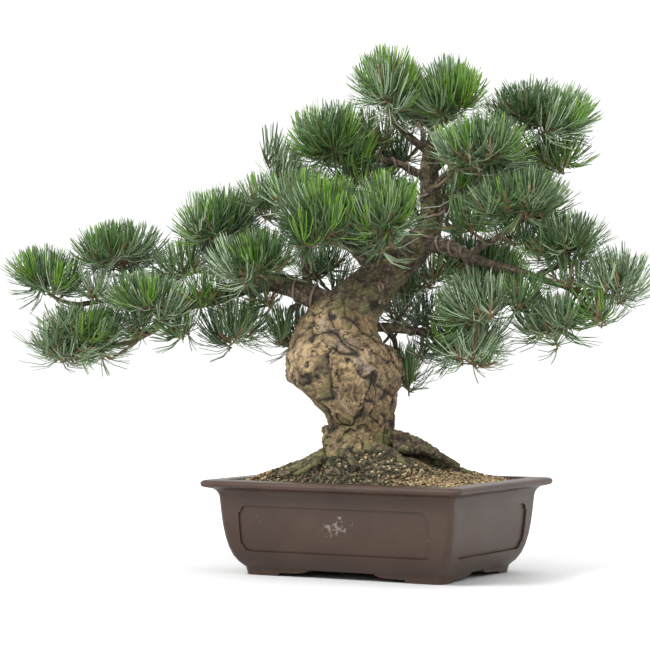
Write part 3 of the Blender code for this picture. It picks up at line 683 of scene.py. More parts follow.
# Needles: sizes, bundles round a shoot and the angles at which these stand off its aim
NEEDLE_LONG = 44 * MM
NEEDLE_SHORT = 34 * MM
NEEDLE_WIDTH = 1.2 * MM
NEEDLE_DEPTH = 0.85 * MM
NEEDLE_RINGS = (0.0, 0.48, 0.93)
NEEDLE_TAPER = (0.8, 1.0, 0.85)
FASCICLES = 15
NEEDLES_A_FASCICLE = 5
SHOOT_LENGTH = 22 * MM
WIDEST_ANGLE = 92
CLOSING_ANGLE = 72
ANGLE_SPREAD = 6
BUNDLE_SPREAD = 0.16
CURL_RISE = 0.54
CURL_AIM = 0.28
SHORTENED = 0.78
LIMB_ROOM = 0.4 * MM
LEAST_KEPT = 0.16
FRESH_SHARE = 0.55
FRESH_WIDTH = 1.25
# Heights over which the brighter kinds grow more frequent, as painted light on the top of the crown
CROWN_LIGHT_HEIGHTS = (370 * MM, 450 * MM)
SHEATH_LENGTH = 6 * MM
SHEATH_RADIUS = 1.1 * MM
# Stems and twigs: rings, sides and share of the radius that the rule gives
STEM_TUBE = (14, 9, 0.95)
TWIG_TUBE = (7, 6, 0.85)
# Bud scales along the end of a shoot: shares of its length from the tip, radius in mm
BUD_PLACES = (-0.8, -0.3, 0.1, 0.25, 0.38)
BUD_RADII = (0.9, 1.25, 1.3, 1.0, 0.15)

# Bark: faces of the trunk and boughs, and the size, depth, layers and slant of its flakes
TRUNK_AROUND = 196
TRUNK_ALONG = 290
BOUGH_AROUND = 24
THICK_BOUGH_AROUND = 44
BOUGH_RING = 1.7 * MM
NOISE_SEED = 7
PLATES = {"size": 31 * MM, "depth": 5.4 * MM, "layers": 2.5, "slant": 0.42}
FLAKES = {"size": 9 * MM, "depth": 1.7 * MM}
ROOT_DEPTH = 2.6 * MM

# Needle colours by spray: outer face, inner faces, how often the kind is drawn for a
# high spray and how often for a low one
# Drawn more often high, the fresh and mid greens are painted light on the tops; drawn more often
# low, the deep green is painted shade below
NEEDLE_KINDS = (
    ("deep_green", (0.018, 0.047, 0.010), (0.064, 0.112, 0.040), 0.22, 0.42),
    ("fresh_green", (0.082, 0.200, 0.012), (0.145, 0.265, 0.030), 0.12, 0.00),
    ("mid_green", (0.036, 0.096, 0.018), (0.112, 0.184, 0.058), 0.26, 0.16),
    ("grey_green", (0.046, 0.088, 0.034), (0.165, 0.236, 0.118), 0.21, 0.21),
    ("silver_green", (0.062, 0.105, 0.050), (0.300, 0.390, 0.240), 0.19, 0.21),
)
# The kind of the fresh needles in the middle of a shoot
FRESH = 1

# Finer sprays between the masses, on the nearest limb: middle, half sizes and shoots
SPRAYS = (
    ((6, 18, 486), (44, 36, 30), 11),
    ((30, 42, 470), (40, 36, 30), 9),
    ((-26, 4, 440), (44, 40, 26), 9),
    ((84, -34, 428), (34, 34, 34), 8),
    ((96, -64, 390), (44, 36, 26), 9),
    ((150, -60, 372), (40, 34, 26), 8),
    ((198, -6, 466), (42, 36, 26), 9),
    ((-130, 44, 412), (34, 36, 36), 8),
    ((-222, 70, 344), (38, 38, 30), 9),
    ((-192, 36, 318), (40, 34, 26), 8),
    ((-322, 84, 318), (40, 38, 24), 8),
    ((-275, 58, 288), (38, 34, 24), 8),
    ((-358, 76, 247), (40, 36, 24), 8),
    ((-306, 64, 246), (44, 32, 20), 7),
    ((-222, 40, 272), (34, 30, 28), 7),
    ((-120, 16, 306), (36, 30, 22), 6),
    ((-112, 26, 266), (30, 28, 30), 6),
    ((-62, 66, 342), (40, 36, 34), 9),
    ((34, 66, 318), (38, 36, 34), 8),
    ((54, 62, 288), (38, 36, 28), 7),
    ((6, 60, 350), (40, 36, 30), 8),
    ((6, 24, 262), (22, 22, 16), 3),
    ((46, 22, 250), (30, 26, 24), 5),
    ((152, -88, 306), (34, 30, 30), 7),
    ((204, -98, 326), (40, 34, 26), 8),
    ((238, -104, 290), (38, 32, 28), 7),
    ((100, -56, 243), (44, 34, 28), 8),
    ((-96, -20, 420), (34, 34, 28), 6),
    ((60, -66, 436), (36, 34, 30), 8),
    ((124, 40, 476), (40, 38, 30), 8),
    ((70, 100, 420), (44, 40, 34), 9),
    ((-84, 100, 430), (44, 40, 34), 9),
    ((-4, 70, 446), (42, 40, 30), 8),
    ((26, 46, 292), (34, 30, 26), 7),
    ((204, -12, 459), (34, 34, 30), 9),
    ((-165, 24, 296), (38, 30, 24), 8),
    ((58, 40, 330), (34, 34, 34), 10),
    ((-262, 52, 274), (38, 32, 24), 8),
    ((-378, 72, 258), (34, 32, 28), 7),
    ((-200, 30, 308), (34, 30, 26), 7),
    ((78, 30, 398), (24, 30, 26), 6),
    ((-212, 36, 274), (40, 32, 22), 7),
    ((-350, 70, 249), (46, 34, 22), 7),
    ((-46, 52, 322), (34, 28, 26), 7),
    ((104, 46, 392), (40, 34, 28), 8),
)

# Gap between the masses in which the upper trunk shows: middle and half sizes
TRUNK_WINDOW = ((57, -66, 425), (17, 84, 37))

# Changes of the trunk's outline: height, direction round it, size and spread in height
TRUNK_SWELLS = (
    (191, 180, -24.0, 16),
    (236, 180, 5.0, 18),
    (138, 180, -6.0, 12),
    (190, 0, 4.0, 18),
    (280, 0, 12.0, 12),
    (203, 180, -7.0, 13),
)

# Old roots and lumps on the soil: start, middle, end and the radius at both ends
ROOT_PIECES = (
    ((-108, -30, 108), (-88, -34, 117), (-66, -30, 123), 5.5, 5.5),
    ((-98, -18, 110), (-80, -14, 121), (-58, -18, 132), 5.5, 8.0),
    ((8, -20, 152), (36, -26, 146), (64, -20, 132), 10.0, 6.0),
    ((16, -34, 140), (50, -38, 138), (88, -32, 120), 6.5, 3.0),
    ((-2, -40, 138), (14, -60, 136), (34, -80, 118), 5.5, 3.0),
    ((-42, -44, 136), (-34, -60, 133), (-24, -78, 120), 4.5, 2.5),
    ((-64, -36, 128), (-70, -56, 124), (-92, -66, 112), 4.0, 2.0),
)
# Scuffs on the pot's front: middle and half sizes of the place where they lie thickest
SCUFF_PLACE = (0.056, -0.125, 0.058)
SCUFF_HALF = (0.030, 0.05, 0.020)
# Thin old roots that lie on the soil: across and away of three points each
FIBRES = (
    ((26, -34), (62, -42), (108, -34)),
    ((34, -28), (70, -26), (104, -48)),
    ((40, -40), (52, -62), (68, -84)),
    ((-80, -34), (-104, -48), (-118, -40)),
    ((-60, -44), (-64, -70), (-48, -90)),
)

# On the front of the trunk, by across and up: grey strips with both ends and half width,
# lichen with its reach, and pits with reach and depth
GREY_STRIPS = (((-58, 276), (-2, 214), 9),)
LICHEN_SPOTS = (((-66, 208), 17), ((-52, 192), 12), ((-30, 268), 12))
KNOTS = (((-4, 297), 6, 4.0), ((-20, 225), 5, 2.0))

# Waves of the trunk's section: size, number round it and turn along it
TRUNK_WAVES = ((0.05, 3, 11), (0.04, 5, -17))

# Roots in the bark: which, how far sunk in mm, rings, sides and size of flakes in mm
ROOT_KINDS = ((SURFACE_ROOTS, 3, 90, 44, 9), (ROOT_PIECES, 0, 40, 30, 8))

# Soil: points of its grid, its bumps, and a heap in front of the trunk in mm
SOIL_GRID = (150, 110)
SOIL_BUMP = 1.6 * MM
SOIL_MARGIN = 1.4 * MM
HEAP_PLACE = (-2, -52)
HEAP_REACH = (44, 26)
HEAP_HEIGHT = 11 * MM

# Grains: number, radii, how far they keep from the trunk, and where moss covers them
GRAINS = 7800
GRAIN_RADII = (0.9, 2.3)
GRAIN_MARGIN = 2 * MM
GRAIN_KEEP_OFF = 36 * MM
MOSS_REACH = (140 * MM, 70 * MM)
MOSS_SHARE = 0.82
KIND_BOUNDS = (0.28, 0.64)
MOSS_KIND = 3
# Corners of the grain's ball that are nearer than this share an edge
BALL_EDGE = 1.1

# Soft brown wire wound round limbs: limb, start, end, turns and radius in mm
WINDINGS = (
    ("bough_left", 0.16, 0.50, 2.2, 1.5),
    ("bough_right", 0.20, 0.60, 2.5, 1.3),
    ("bough_low_right", 0.20, 0.70, 2.5, 1.2),
    ("bough_upper_left", 0.15, 0.75, 3.5, 1.1),
    ("bough_far_left", 0.10, 0.45, 2.5, 1.2),
    (TRUNK, 0.72, 0.86, 2.5, 1.5),
)
WIRE_CELLS = 239
WIRE_A_TURN = 22
WIRE_SIDES = 8
# Two wires down the front of the neck: across and up of their course, shift and radius
NECK_COURSE = ((-6, 342), (-3, 330), (0, 318), (2, 306), (1, 299))
NECK_SHIFTS = (0.0, 4.6)
NECK_WIRE = 1.5 * MM

# Colours of the bark: tones by plate, the painted shade of the cracks and moss, for the trunk and
# for the boughs
TRUNK_BARK = (
    ((0.20, 0.145, 0.078), (0.125, 0.088, 0.050), (0.28, 0.21, 0.122), (0.155, 0.108, 0.066)),
    (0.016, 0.011, 0.007),
    (0.12, 0.125, 0.040),
)
BOUGH_BARK = (
    ((0.085, 0.062, 0.042), (0.12, 0.09, 0.062), (0.07, 0.05, 0.034)),
    (0.014, 0.010, 0.008),
    (0.09, 0.095, 0.050),
)
# Plain finishes: name, colour, roughness and scale of the grain in the surface
TWIG_FINISH = ("twig_bark", (0.12, 0.08, 0.045), 0.8, 300.0)
BUD_FINISH = ("bud_scales", (0.14, 0.082, 0.032), 0.6, 500.0)
SOIL_FINISH = ("soil_ground", (0.10, 0.075, 0.045), 0.95, 260.0)
WIRE_FINISH = ("brown_wire", (0.16, 0.12, 0.085), 0.4, 200.0)
GRAIN_FINISHES = (
    ("pale_grain", (0.34, 0.265, 0.145), 0.9, 500.0),
    ("tan_grain", (0.22, 0.15, 0.068), 0.9, 500.0),
    ("brown_grain", (0.10, 0.062, 0.032), 0.9, 500.0),
    ("moss_grain", (0.030, 0.030, 0.014), 0.95, 500.0),
)
BLACK = (0.0, 0.0, 0.0)
WHITE = (1.0, 1.0, 1.0)

# Stage: floor, brightness of the world, lamps (place, size, watts) and camera
FLOOR_REACH = 60.0
# The floor is darker near the pot as painted shade, offsetting the lamps' brighter light there and
# deepening the pot's shadow
FLOOR_FADE = (0.35, 1.6)
FLOOR_NEAR_SHADE = (0.54,) * 3
FLOOR_FAR = (0.93,) * 3
WORLD_STRENGTH = 1.12
LAMPS = (
    ("key", (-1.0, -1.9, 2.4), 1.2, 112.0),
    ("fill", (2.2, -1.0, 1.4), 1.4, 22.0),
    ("top", (0.3, 0.5, 2.6), 1.4, 52.0),
)
LAMP_TARGET = (0.0, 0.0, 0.3)
CAMERA_PLACE = (1.279 + POT_MIDDLE[0], -2.388 + POT_MIDDLE[1], 0.266)
CAMERA_TILT = math.radians(90.2)
CAMERA_TURN = math.radians(29.42)


# Materials


class Finish:
    """A material and its nodes, with a call for each kind of node that the looks need."""

    def __init__(self, name, colour, roughness):
        self.material = bpy.data.materials.new(name)
        self.material.use_nodes = True
        self.nodes = self.material.node_tree.nodes
        self.links = self.material.node_tree.links
        self.shader = self.nodes["Principled BSDF"]
        self.give(self.shader.inputs["Base Color"], colour)
        self.give(self.shader.inputs["Roughness"], roughness)

    def give(self, socket, value):
        """Sets a socket to a number, a colour or a vector, or links another node to it."""
        if isinstance(value, bpy.types.NodeSocket):
            self.links.new(value, socket)
        elif isinstance(value, tuple) and len(value) < len(socket.default_value):
            socket.default_value = (*value, 1.0)
        else:
            socket.default_value = value

    def node(self, kind, inputs):
        """A new node with these inputs, by name or by number."""
        made = self.nodes.new(kind)
        for name, value in inputs.items():
            self.give(made.inputs[name], value)
        return made

    def places(self):
        return self.nodes.new("ShaderNodeTexCoord").outputs["Object"]

    def noise(self, scale, detail=4.0, distort=0.0):
        inputs = {"Vector": self.places(), "Scale": scale, "Detail": detail, "Distortion": distort}
        return self.node("ShaderNodeTexNoise", inputs).outputs["Fac"]

    def ramp(self, value, *stops):
        """A colour for each value, between stops of place and colour."""
        made = self.node("ShaderNodeValToRGB", {"Fac": value})
        elements = made.color_ramp.elements
        while len(elements) < len(stops):
            elements.new(0.5)
        for element, (place, colour) in zip(elements, stops):
            element.position = place
            element.color = (*colour, 1.0)
        return made.outputs["Color"]

    def mix(self, share, first, second, kind="MIX"):
        """Two colours mixed by a share, each of them a value or a socket."""
        made = self.nodes.new("ShaderNodeMix")
        made.data_type = "RGBA"
        made.blend_type = kind
        for number, value in ((0, share), (6, first), (7, second)):
            self.give(made.inputs[number], value)
        return made.outputs[2]

    def stretch(self, value, from_ends, to_ends):
        """A value taken from one range to another."""
        names = ("From Min", "From Max", "To Min", "To Max")
        inputs = {"Value": value, **dict(zip(names, (*from_ends, *to_ends)))}
        return self.node("ShaderNodeMapRange", inputs).outputs["Result"]

    def vector(self, operation, first, second=(0.0, 0.0, 0.0)):
        made = self.node("ShaderNodeVectorMath", {0: first, 1: second})
        made.operation = operation
        return made.outputs["Value" if operation == "LENGTH" else "Vector"]

    def attribute(self, name):
        made = self.nodes.new("ShaderNodeAttribute")
        made.attribute_name = name
        return made.outputs["Fac"]

    def bump(self, height, strength, distance):
        inputs = {"Height": height, "Strength": strength, "Distance": distance}
        made = self.node("ShaderNodeBump", inputs)
        self.give(self.shader.inputs["Normal"], made.outputs["Normal"])


def bark_material(name, tones, dark, moss):
    """Tones by plate, fine mottling, grey strips, patches of lichen, and painted shade that turns
    the cracks near black.
    """
    bark = Finish(name, tones[0], 0.88)
    stops = [(i / (len(tones) - 1), tone) for i, tone in enumerate(tones)]
    plates = bark.ramp(bark.attribute("plate"), *stops)
    young = bark.ramp(
        bark.noise(210.0, 7.0),
        (0.36, (0.022, 0.016, 0.010)),
        (0.52, (0.075, 0.056, 0.034)),
        (0.68, (0.17, 0.135, 0.09)),
    )
    body = bark.mix(bark.attribute("young"), plates, young)
    fine = bark.ramp(
        bark.noise(130.0, 8.0, 0.8), (0.36, (0.26, 0.23, 0.20)), (0.60, (1.5, 1.48, 1.45))
    )
    body = bark.mix(0.85, body, fine, "MULTIPLY")
    blotch = bark.ramp(
        bark.noise(34.0, 6.0, 0.5), (0.36, (0.55, 0.48, 0.42)), (0.60, (1.22, 1.22, 1.22))
    )
    body = bark.mix(0.8, body, blotch, "MULTIPLY")
    scales = bark.ramp(
        bark.noise(240.0, 6.0), (0.38, (0.085, 0.068, 0.062)), (0.62, (0.27, 0.235, 0.225))
    )
    body = bark.mix(bark.attribute("grey"), body, scales)
    patches = bark.ramp(bark.noise(70.0, 6.0), (0.44, BLACK), (0.60, WHITE))
    body = bark.mix(bark.mix(bark.attribute("moss"), BLACK, patches), body, moss)
    # Painted shade: the cracks, the foot of each flake's edge and the pits go near black
    sharp = bark.ramp(bark.attribute("crack"), (0.20, BLACK), (0.85, WHITE))
    bark.give(bark.shader.inputs["Base Color"], bark.mix(sharp, dark, body))
    bark.bump(bark.noise(300.0, 8.0), 1.0, 0.0032)
    return bark.material


def plain_material(name, colour, roughness, grain):
    """One colour all over, with a slight grain in the surface."""
    plain = Finish(name, colour, roughness)
    plain.bump(plain.noise(grain, 3.0), 0.15, 0.0004)
    return plain.material


def clay_material():
    """Brown clay with soft clouds and specks, and pale scuffs on the front."""
    clay = Finish("pot_clay", (0.048, 0.028, 0.020), 0.36)
    clay.give(clay.shader.inputs["Specular IOR Level"], 0.3)
    cloud = clay.ramp(
        clay.noise(14.0, 5.0, 0.4), (0.3, (0.040, 0.0230, 0.0155)), (0.7, (0.058, 0.0345, 0.0240))
    )
    speck = clay.ramp(
        clay.noise(900.0, 2.0), (0.36, (0.75, 0.75, 0.75)), (0.6, (1.08, 1.08, 1.08))
    )
    body = clay.mix(0.6, cloud, speck, "MULTIPLY")
    off = clay.vector("SUBTRACT", clay.places(), SCUFF_PLACE)
    far = clay.vector("LENGTH", clay.vector("DIVIDE", off, SCUFF_HALF))
    near = clay.stretch(far, (0.2, 1.0), (0.17, -0.03))
    both = clay.node("ShaderNodeMath", {0: near, 1: clay.noise(95.0, 7.0, 1.6)})
    scuffs = clay.ramp(both.outputs["Value"], (0.70, BLACK), (0.75, WHITE))
    body = clay.mix(scuffs, body, (0.16, 0.135, 0.122))
    clay.give(clay.shader.inputs["Base Color"], body)
    rough = clay.stretch(clay.noise(38.0), (0.0, 1.0), (0.28, 0.48))
    clay.give(clay.shader.inputs["Roughness"], rough)
    clay.bump(clay.noise(700.0), 0.12, 0.0005)
    return clay.material


# Meshes from arrays


def mesh_piece(name, points, corners, sizes, materials, kinds=None, smooth=True):
    """A joined mesh: points, the corners of all faces in a row, and each face's size."""
    points = np.asarray(points, np.float32)
    corners = np.asarray(corners, np.int32).ravel()
    sizes = np.asarray(sizes, np.int32).ravel()
    mesh = bpy.data.meshes.new(name)
    mesh.vertices.add(len(points))
    mesh.vertices.foreach_set("co", points.ravel())
    mesh.loops.add(len(corners))
    mesh.loops.foreach_set("vertex_index", corners)
    mesh.polygons.add(len(sizes))
    starts = np.concatenate([[0], np.cumsum(sizes)[:-1]]).astype(np.int32)
    mesh.polygons.foreach_set("loop_start", starts)
    mesh.polygons.foreach_set("use_smooth", np.full(len(sizes), smooth))
    if kinds is not None:
        mesh.polygons.foreach_set("material_index", np.asarray(kinds, np.int32).ravel())
    for made in materials:
        mesh.materials.append(made)
    mesh.update(calc_edges=True)
    mesh.validate()
    made = bpy.data.objects.new(name, mesh)
    bpy.context.scene.collection.objects.link(made)
    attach(made, "root")
    return made


def set_values(piece, name, values):
    found = piece.data.attributes.new(name, "FLOAT", "POINT")
    found.data.foreach_set("value", np.asarray(values, np.float32).ravel())


class Batch:
    """Shapes gathered for one joined mesh."""

    def __init__(self):
        self.points = []
        self.corners = []
        self.sizes = []
        self.extra = {}
        self.count = 0

    def add(self, points, quads, triangles=(), **extra):
        for faces in (quads, triangles):
            faces = np.asarray(faces, np.int64)
            if not len(faces):
                continue
            self.corners.append((faces + self.count).ravel())
            self.sizes.append(np.full(len(faces), faces.shape[1]))
        self.points.append(points)
        for name, values in extra.items():
            self.extra.setdefault(name, []).append(values)
        self.count += len(points)

    def piece(self, name, material):
        parts = (self.points, self.corners, self.sizes)
        made = mesh_piece(name, *(np.concatenate(part) for part in parts), [material])
        for extra, values in self.extra.items():
            set_values(made, extra, np.concatenate(values))
        return made


def ring_quads(rings, around):
    ring = np.arange(rings - 1)[:, None] * around
    i = np.arange(around)[None]
    j = (i + 1) % around
    return np.stack([ring + i, ring + j, ring + around + j, ring + around + i], -1).reshape(-1, 4)


def fan(ring, around, middle, flip):
    i = np.arange(around)
    j = (i + 1) % around
    first, second = (j, i) if flip else (i, j)
    return np.stack([ring * around + first, ring * around + second, np.full(around, middle)], -1)


def round_tube(batch, path, radii, around, ahead=None, **extra):
    """A closed tube added to the batch, with a pointed cap at each end."""
    _, side, other = frames(path, ahead)
    spokes = spokes_round(side, other, ring_angles(around))
    radii = np.broadcast_to(np.asarray(radii).reshape(len(path), -1), (len(path), around))
    points = (path[:, None] + spokes * radii[..., None]).reshape(-1, 3)
    points = np.vstack([points, path[:1], path[-1:]])
    count = len(path) * around
    caps = np.vstack(
        [fan(0, around, count, True), fan(len(path) - 1, around, count + 1, False)]
    )
    padded = {}
    for name, values in extra.items():
        values = np.broadcast_to(values, (len(path), around)).reshape(-1)
        padded[name] = np.concatenate([values, values[:1], values[-1:]])
    batch.add(points, ring_quads(len(path), around), caps, **padded)


# Bark


def smoothstep(low, high, value):
    t = np.clip((value - low) / (high - low), 0, 1)
    return t * t * (3 - 2 * t)


def bark_heights(points, size, depth, layers=4.2, slant=0.0):
    """Flakes that lap over each other, cut by fissures: heights, crack and plate values."""
    middle = np.array([*POT_MIDDLE, 0])
    grain = unit(mass_axes()[0] * 0.55 - UP * 0.83)
    along = (points - middle) @ grain
    points = points - slant * along[:, None] * grain
    count = len(points)
    heights = np.empty(count)
    crack = np.empty(count)
    plate = np.empty(count)
    apart = Vector((5.2, 1.3, 7.7))
    for i, (x, y, z) in enumerate(points):
        # Two warps, a coarse and a fine one, keep the flakes from lining up
        place = Vector((x / size, y / size, z / size / 1.2))
        place += noise.noise_vector(place * 0.9) * 0.5 + noise.noise_vector(place * 2.7) * 0.2
        # Each whole step of a slow noise is a plate, which rises towards its edge
        level = noise.fractal(place * 0.8, 0.9, 2.0, 2) * layers
        step = level - math.floor(level)
        # Fissures run where another noise passes through nought
        fissure = min(abs(noise.noise(place * 1.15 + apart)) / 0.11, 1.0)
        fine = noise.fractal(place * 5.5, 0.8, 2.0, 4)
        ragged = min((step + 0.06 * fine) / 0.17, 1.0)
        # A low crack value, in the fissures and at the foot of each flake's edge, is painted as
        # shade by the bark material
        crack[i] = max(min(ragged, 0.25 + 0.75 * fissure, fissure + 0.1), 0.0)
        plate[i] = noise.cell(Vector((math.floor(level) * 3.7, 2.5, 0.5)))
        heights[i] = depth * (0.60 * step - 0.80 * (1 - fissure**0.6) + 0.22 * fine)
    return heights, crack, plate


def trunk_tints(surface):
    """Grey strips, lichen and pits by their place on the front of the trunk."""
    middle = np.array([*POT_MIDDLE, 0])
    local = (surface - middle) @ mass_axes().T / MM
    front = smoothstep(10, -12, local[:, 1])
    flat = local[:, [0, 2]]
    grey = np.zeros(len(surface))
    for start, end, width in GREY_STRIPS:
        start, end = np.array(start, float), np.array(end, float)
        line = end - start
        t = np.clip((flat - start) @ line / (line @ line), 0, 1)
        off = np.linalg.norm(flat - start - t[:, None] * line, axis=1)
        grey = np.maximum(grey, front * np.exp(-((off / width) ** 2)))
    moss = 0.8 * smoothstep(200, 150, local[:, 2]) + 0.5 * smoothstep(262, 288, local[:, 2])
    for spot, reach in LICHEN_SPOTS:
        off = np.linalg.norm(flat - np.array(spot), axis=1)
        moss = np.maximum(moss, front * np.exp(-((off / reach) ** 2)))
    pits = np.zeros(len(surface))
    for spot, reach, depth in KNOTS:
        off = np.linalg.norm(flat - np.array(spot), axis=1)
        pits = np.maximum(pits, front * depth * np.exp(-((off / reach) ** 2)))
    young = smoothstep(272, 300, local[:, 2] + 0.25 * local[:, 0])
    return 0.85 * grey, np.clip(moss, 0.08, 1.0), pits * MM, young


def make_trunk(bark):
    path, radii = trunk_rows(TRUNK_ALONG)
    angles = ring_angles(TRUNK_AROUND)
    along = np.linspace(0, 1, TRUNK_ALONG)[:, None]
    swell = sum(size * np.sin(number * angles + turn * along) for size, number, turn in TRUNK_WAVES)
    flare = np.clip(1 - (path[:, 2] - path[0, 2]) / FLARE_HEIGHT, 0, 1)[:, None] ** 2
    _, side, other = frames(path, UP)
    spokes = spokes_round(side, other, angles)
    heading = np.arctan2(spokes[..., 1], spokes[..., 0])
    for degrees, size in FLARE_RIDGES:
        lean = np.cos(heading - CROWN_TURN - math.radians(degrees))
        swell = swell + size * flare * np.clip(lean, 0, 1) ** 6
    shell = radii[:, None] * (1 + swell)
    for height, degrees, size, spread in TRUNK_SWELLS:
        lean = np.clip(np.cos(heading - CROWN_TURN - math.radians(degrees)), 0, 1) ** 1.5
        near = np.exp(-(((path[:, 2] / MM - height) / spread) ** 2))[:, None]
        shell = shell + size * MM * near * lean
    surface = (path[:, None] + spokes * shell[..., None]).reshape(-1, 3)
    coarse, crack, plate = bark_heights(surface, **PLATES)
    small, small_crack, small_plate = bark_heights(surface, **FLAKES)
    # Plates on the thick trunk, flakes alone where it is thin
    bulk = smoothstep(22 * MM, 36 * MM, np.repeat(radii, TRUNK_AROUND))
    heights = bulk * (coarse + 0.32 * small) + (1 - bulk) * small
    crack = bulk * crack * (0.55 + 0.45 * small_crack) + (1 - bulk) * (0.3 + 0.7 * small_crack)
    plate = bulk * plate + (1 - bulk) * (0.35 + 0.3 * small_plate)
    grey, moss, pits, young = trunk_tints(surface)
    grey = grey * (0.25 + 0.75 * small_plate)
    # Pits lower the crack value, so painted shade darkens their hollows
    crack = np.clip(crack * (1 - np.clip(pits / (3 * MM), 0, 0.9)), 0, 1)
    values = {"crack": crack, "plate": plate, "moss": moss, "grey": grey, "young": young}
    values = {name: value.reshape(shell.shape) for name, value in values.items()}
    shape = shell + (heights - pits).reshape(shell.shape)
    batch = Batch()
    round_tube(batch, path, shape, TRUNK_AROUND, UP, **values)
    make_roots(batch)
    trunk = batch.piece("trunk_bark", bark)
    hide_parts(TRUNK)


def make_roots(batch):
    """Roots that run on over the soil, old pieces of root, and thin fibres."""
    for roots, sunk, rings, around, size in ROOT_KINDS:
        for start, middle, end, thick_end, thin_end in roots:
            root = smooth_rows([at(*start), at(*middle), at(*end)], rings)
            root[:, 2] -= sunk * MM
            radii = np.linspace(thick_end, thin_end, rings) * MM
            bark_limb(batch, root, radii, around, size * MM, ROOT_DEPTH, 0.7, 1.0)
    for number, places in enumerate(FIBRES):
        fibre = smooth_rows([at(*place, 0) for place in places], 24)
        lift = 2.0 + 1.6 * np.sin(np.linspace(0, 9, 24) + number)
        fibre[:, 2] = soil_height(fibre[:, :2]) + lift * MM
        bark_limb(batch, fibre, np.linspace(1.1, 0.6, 24) * MM, 7, 8 * MM, 0.2 * MM, 0.3)


def bark_limb(batch, path, radii, around, size, depth, moss, young=0.0):
    """A tube with flakes of bark, as mossy and as young all over as these shares say."""
    _, side, other = frames(path)
    spokes = spokes_round(side, other, ring_angles(around))
    radii = np.repeat(radii[:, None], around, axis=1)
    surface = (path[:, None] + spokes * radii[..., None]).reshape(-1, 3)
    heights, crack, plate = bark_heights(surface, size, depth)
    shape = radii + np.minimum(heights.reshape(radii.shape), 0.35 * radii)
    values = {"crack": crack.reshape(radii.shape), "plate": plate.reshape(radii.shape)}
    round_tube(batch, path, shape, around, **values, moss=moss, grey=0.0, young=young)


def make_boughs(known, bark):
    batch = Batch()
    for name in LIMBS:
        path, radii = known[name]
        length = np.linalg.norm(np.diff(path, axis=0), axis=1).sum()
        rings = max(12, int(length / BOUGH_RING))
        fine_path, fine_radii = finer(path, radii, rings)
        t = np.linspace(0, 1, rings)
        collar = 1 + 0.3 * np.exp(-((t * length) / (2.2 * radii[0])) ** 2)
        knots = 1 + 0.06 * np.sin(t * length / (5 * MM) + len(name))
        depth = np.clip(radii[0] * 0.14, 0.5 * MM, 1.5 * MM)
        around = BOUGH_AROUND if radii[0] < 8 * MM else THICK_BOUGH_AROUND
        bark_limb(batch, fine_path, fine_radii * collar * knots, around, 6 * MM, depth, 0.2, 0.8)
    boughs = batch.piece("bough_bark", bark)
    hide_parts(*LIMBS)


# Fine growth of the masses


def in_window(points):
    """Which points lie in the gap where the upper trunk shows."""
    middle, half = TRUNK_WINDOW
    local = (points - at(*middle)) @ mass_axes().T / (np.array(half) * MM)
    return np.linalg.norm(local, axis=-1) < 1


class Space:
    """Room of one mass or spray: an ellipsoid, cut by planes where it has neighbours."""

    def __init__(self, middle, half, walls=None):
        self.middle = middle
        self.half = np.array(half, float) * MM
        self.walls = walls

    def holds(self, points, share):
        """Which points lie inside, where this share of the half sizes counts as inside."""
        points = np.asarray(points)
        local = (points - self.middle) @ mass_axes().T / self.half
        local[:, 2] *= np.where(local[:, 2] > 0, *SPACE_SLOPES)
        inside = np.linalg.norm(local, axis=1) < share
        if self.walls is not None:
            normals, offsets = self.walls
            inside &= (points @ normals.T <= offsets + WALL_OVERLAP).all(axis=1)
        inside &= ~in_window(points)
        low = np.array(cad_box[0]) - BOX_SLACK
        high = np.array(cad_box[1]) + BOX_SLACK
        return inside & (points > low).all(axis=1) & (points < high).all(axis=1)


def add_shoots(twigs, space, wanted, segments, rng):
    """Finer twigs by the same rule, and then how many twigs each one carries."""
    inner = inner_half(space.half, FINE_INSET)
    added = 0
    for place, aim in shoot_spiral(space.middle, inner, FINE_SPIRAL, wanted * TRIES, rng):
        if crowded(twigs, place, FINE_ROOM):
            continue
        number, joint = joint_for(twigs, place, aim, FINE_COSTS, FINE_LEAST, True)
        points = shoot_points(twigs[number].points[joint], place, aim, 4)
        if not space.holds(points[1:], TWIG_REACH).all():
            continue
        if touches(points[1:-1], points[2:], segments, FINE_THICK):
            continue
        twigs.append(Twig(points, number, joint, aim))
        added += 1
        if added == wanted:
            break
    for twig in reversed(twigs[1:]):
        twig.load += 1
        twigs[twig.parent].load += twig.load


def mass_growth(name, known, segments):
    """The source's twigs of a mass, then finer ones within the same space."""
    twigs, walls = grow_mass(name, known, segments)
    rng = np.random.default_rng(SEED * 1000 + list(MASSES).index(name))
    space = Space(mass_middle(name), MASSES[name][2], walls)
    add_shoots(twigs, space, int(round(len(twigs) * FINE_SHARE)), segments, rng)
    return twigs, space, rng


def spray_growth(number, known, segments):
    """A finer spray between the masses, from the nearest place on a limb."""
    middle, half, shoots = SPRAYS[number]
    rng = np.random.default_rng(SEED * 2000 + number)
    space = Space(at(*middle), np.array(half) + SPRAY_MARGIN)
    last = SPRAY_PLACES - 1
    best = None
    for path, radii in known.values():
        fine_path, fine_radii = finer(path, radii, SPRAY_PLACES)
        offsets = space.middle - fine_path
        lengths = np.linalg.norm(offsets, axis=1)
        cost = lengths * (1.0 - 0.15 * offsets[:, 2] / np.maximum(lengths, MM)) - fine_radii
        cost[fine_radii > THICK_LIMB] += THICK_COST
        i = int(np.argmin(cost))
        if best is None or cost[i] < best[0]:
            best = (cost[i], fine_path[i], unit(fine_path[min(i + 1, last)] - fine_path[i - 1]))
    _, root, ahead = best
    heart = space.middle - UP * space.half[2] * 0.3
    reach = np.linalg.norm(heart - root)
    bend = root + (ahead * 0.5 + unit(heart - root)) * reach * 0.3
    twigs = [Twig(bezier(root, bend, heart - UP * reach * 0.15, heart, 6))]
    add_shoots(twigs, space, shoots, segments, rng)
    return twigs, space, rng


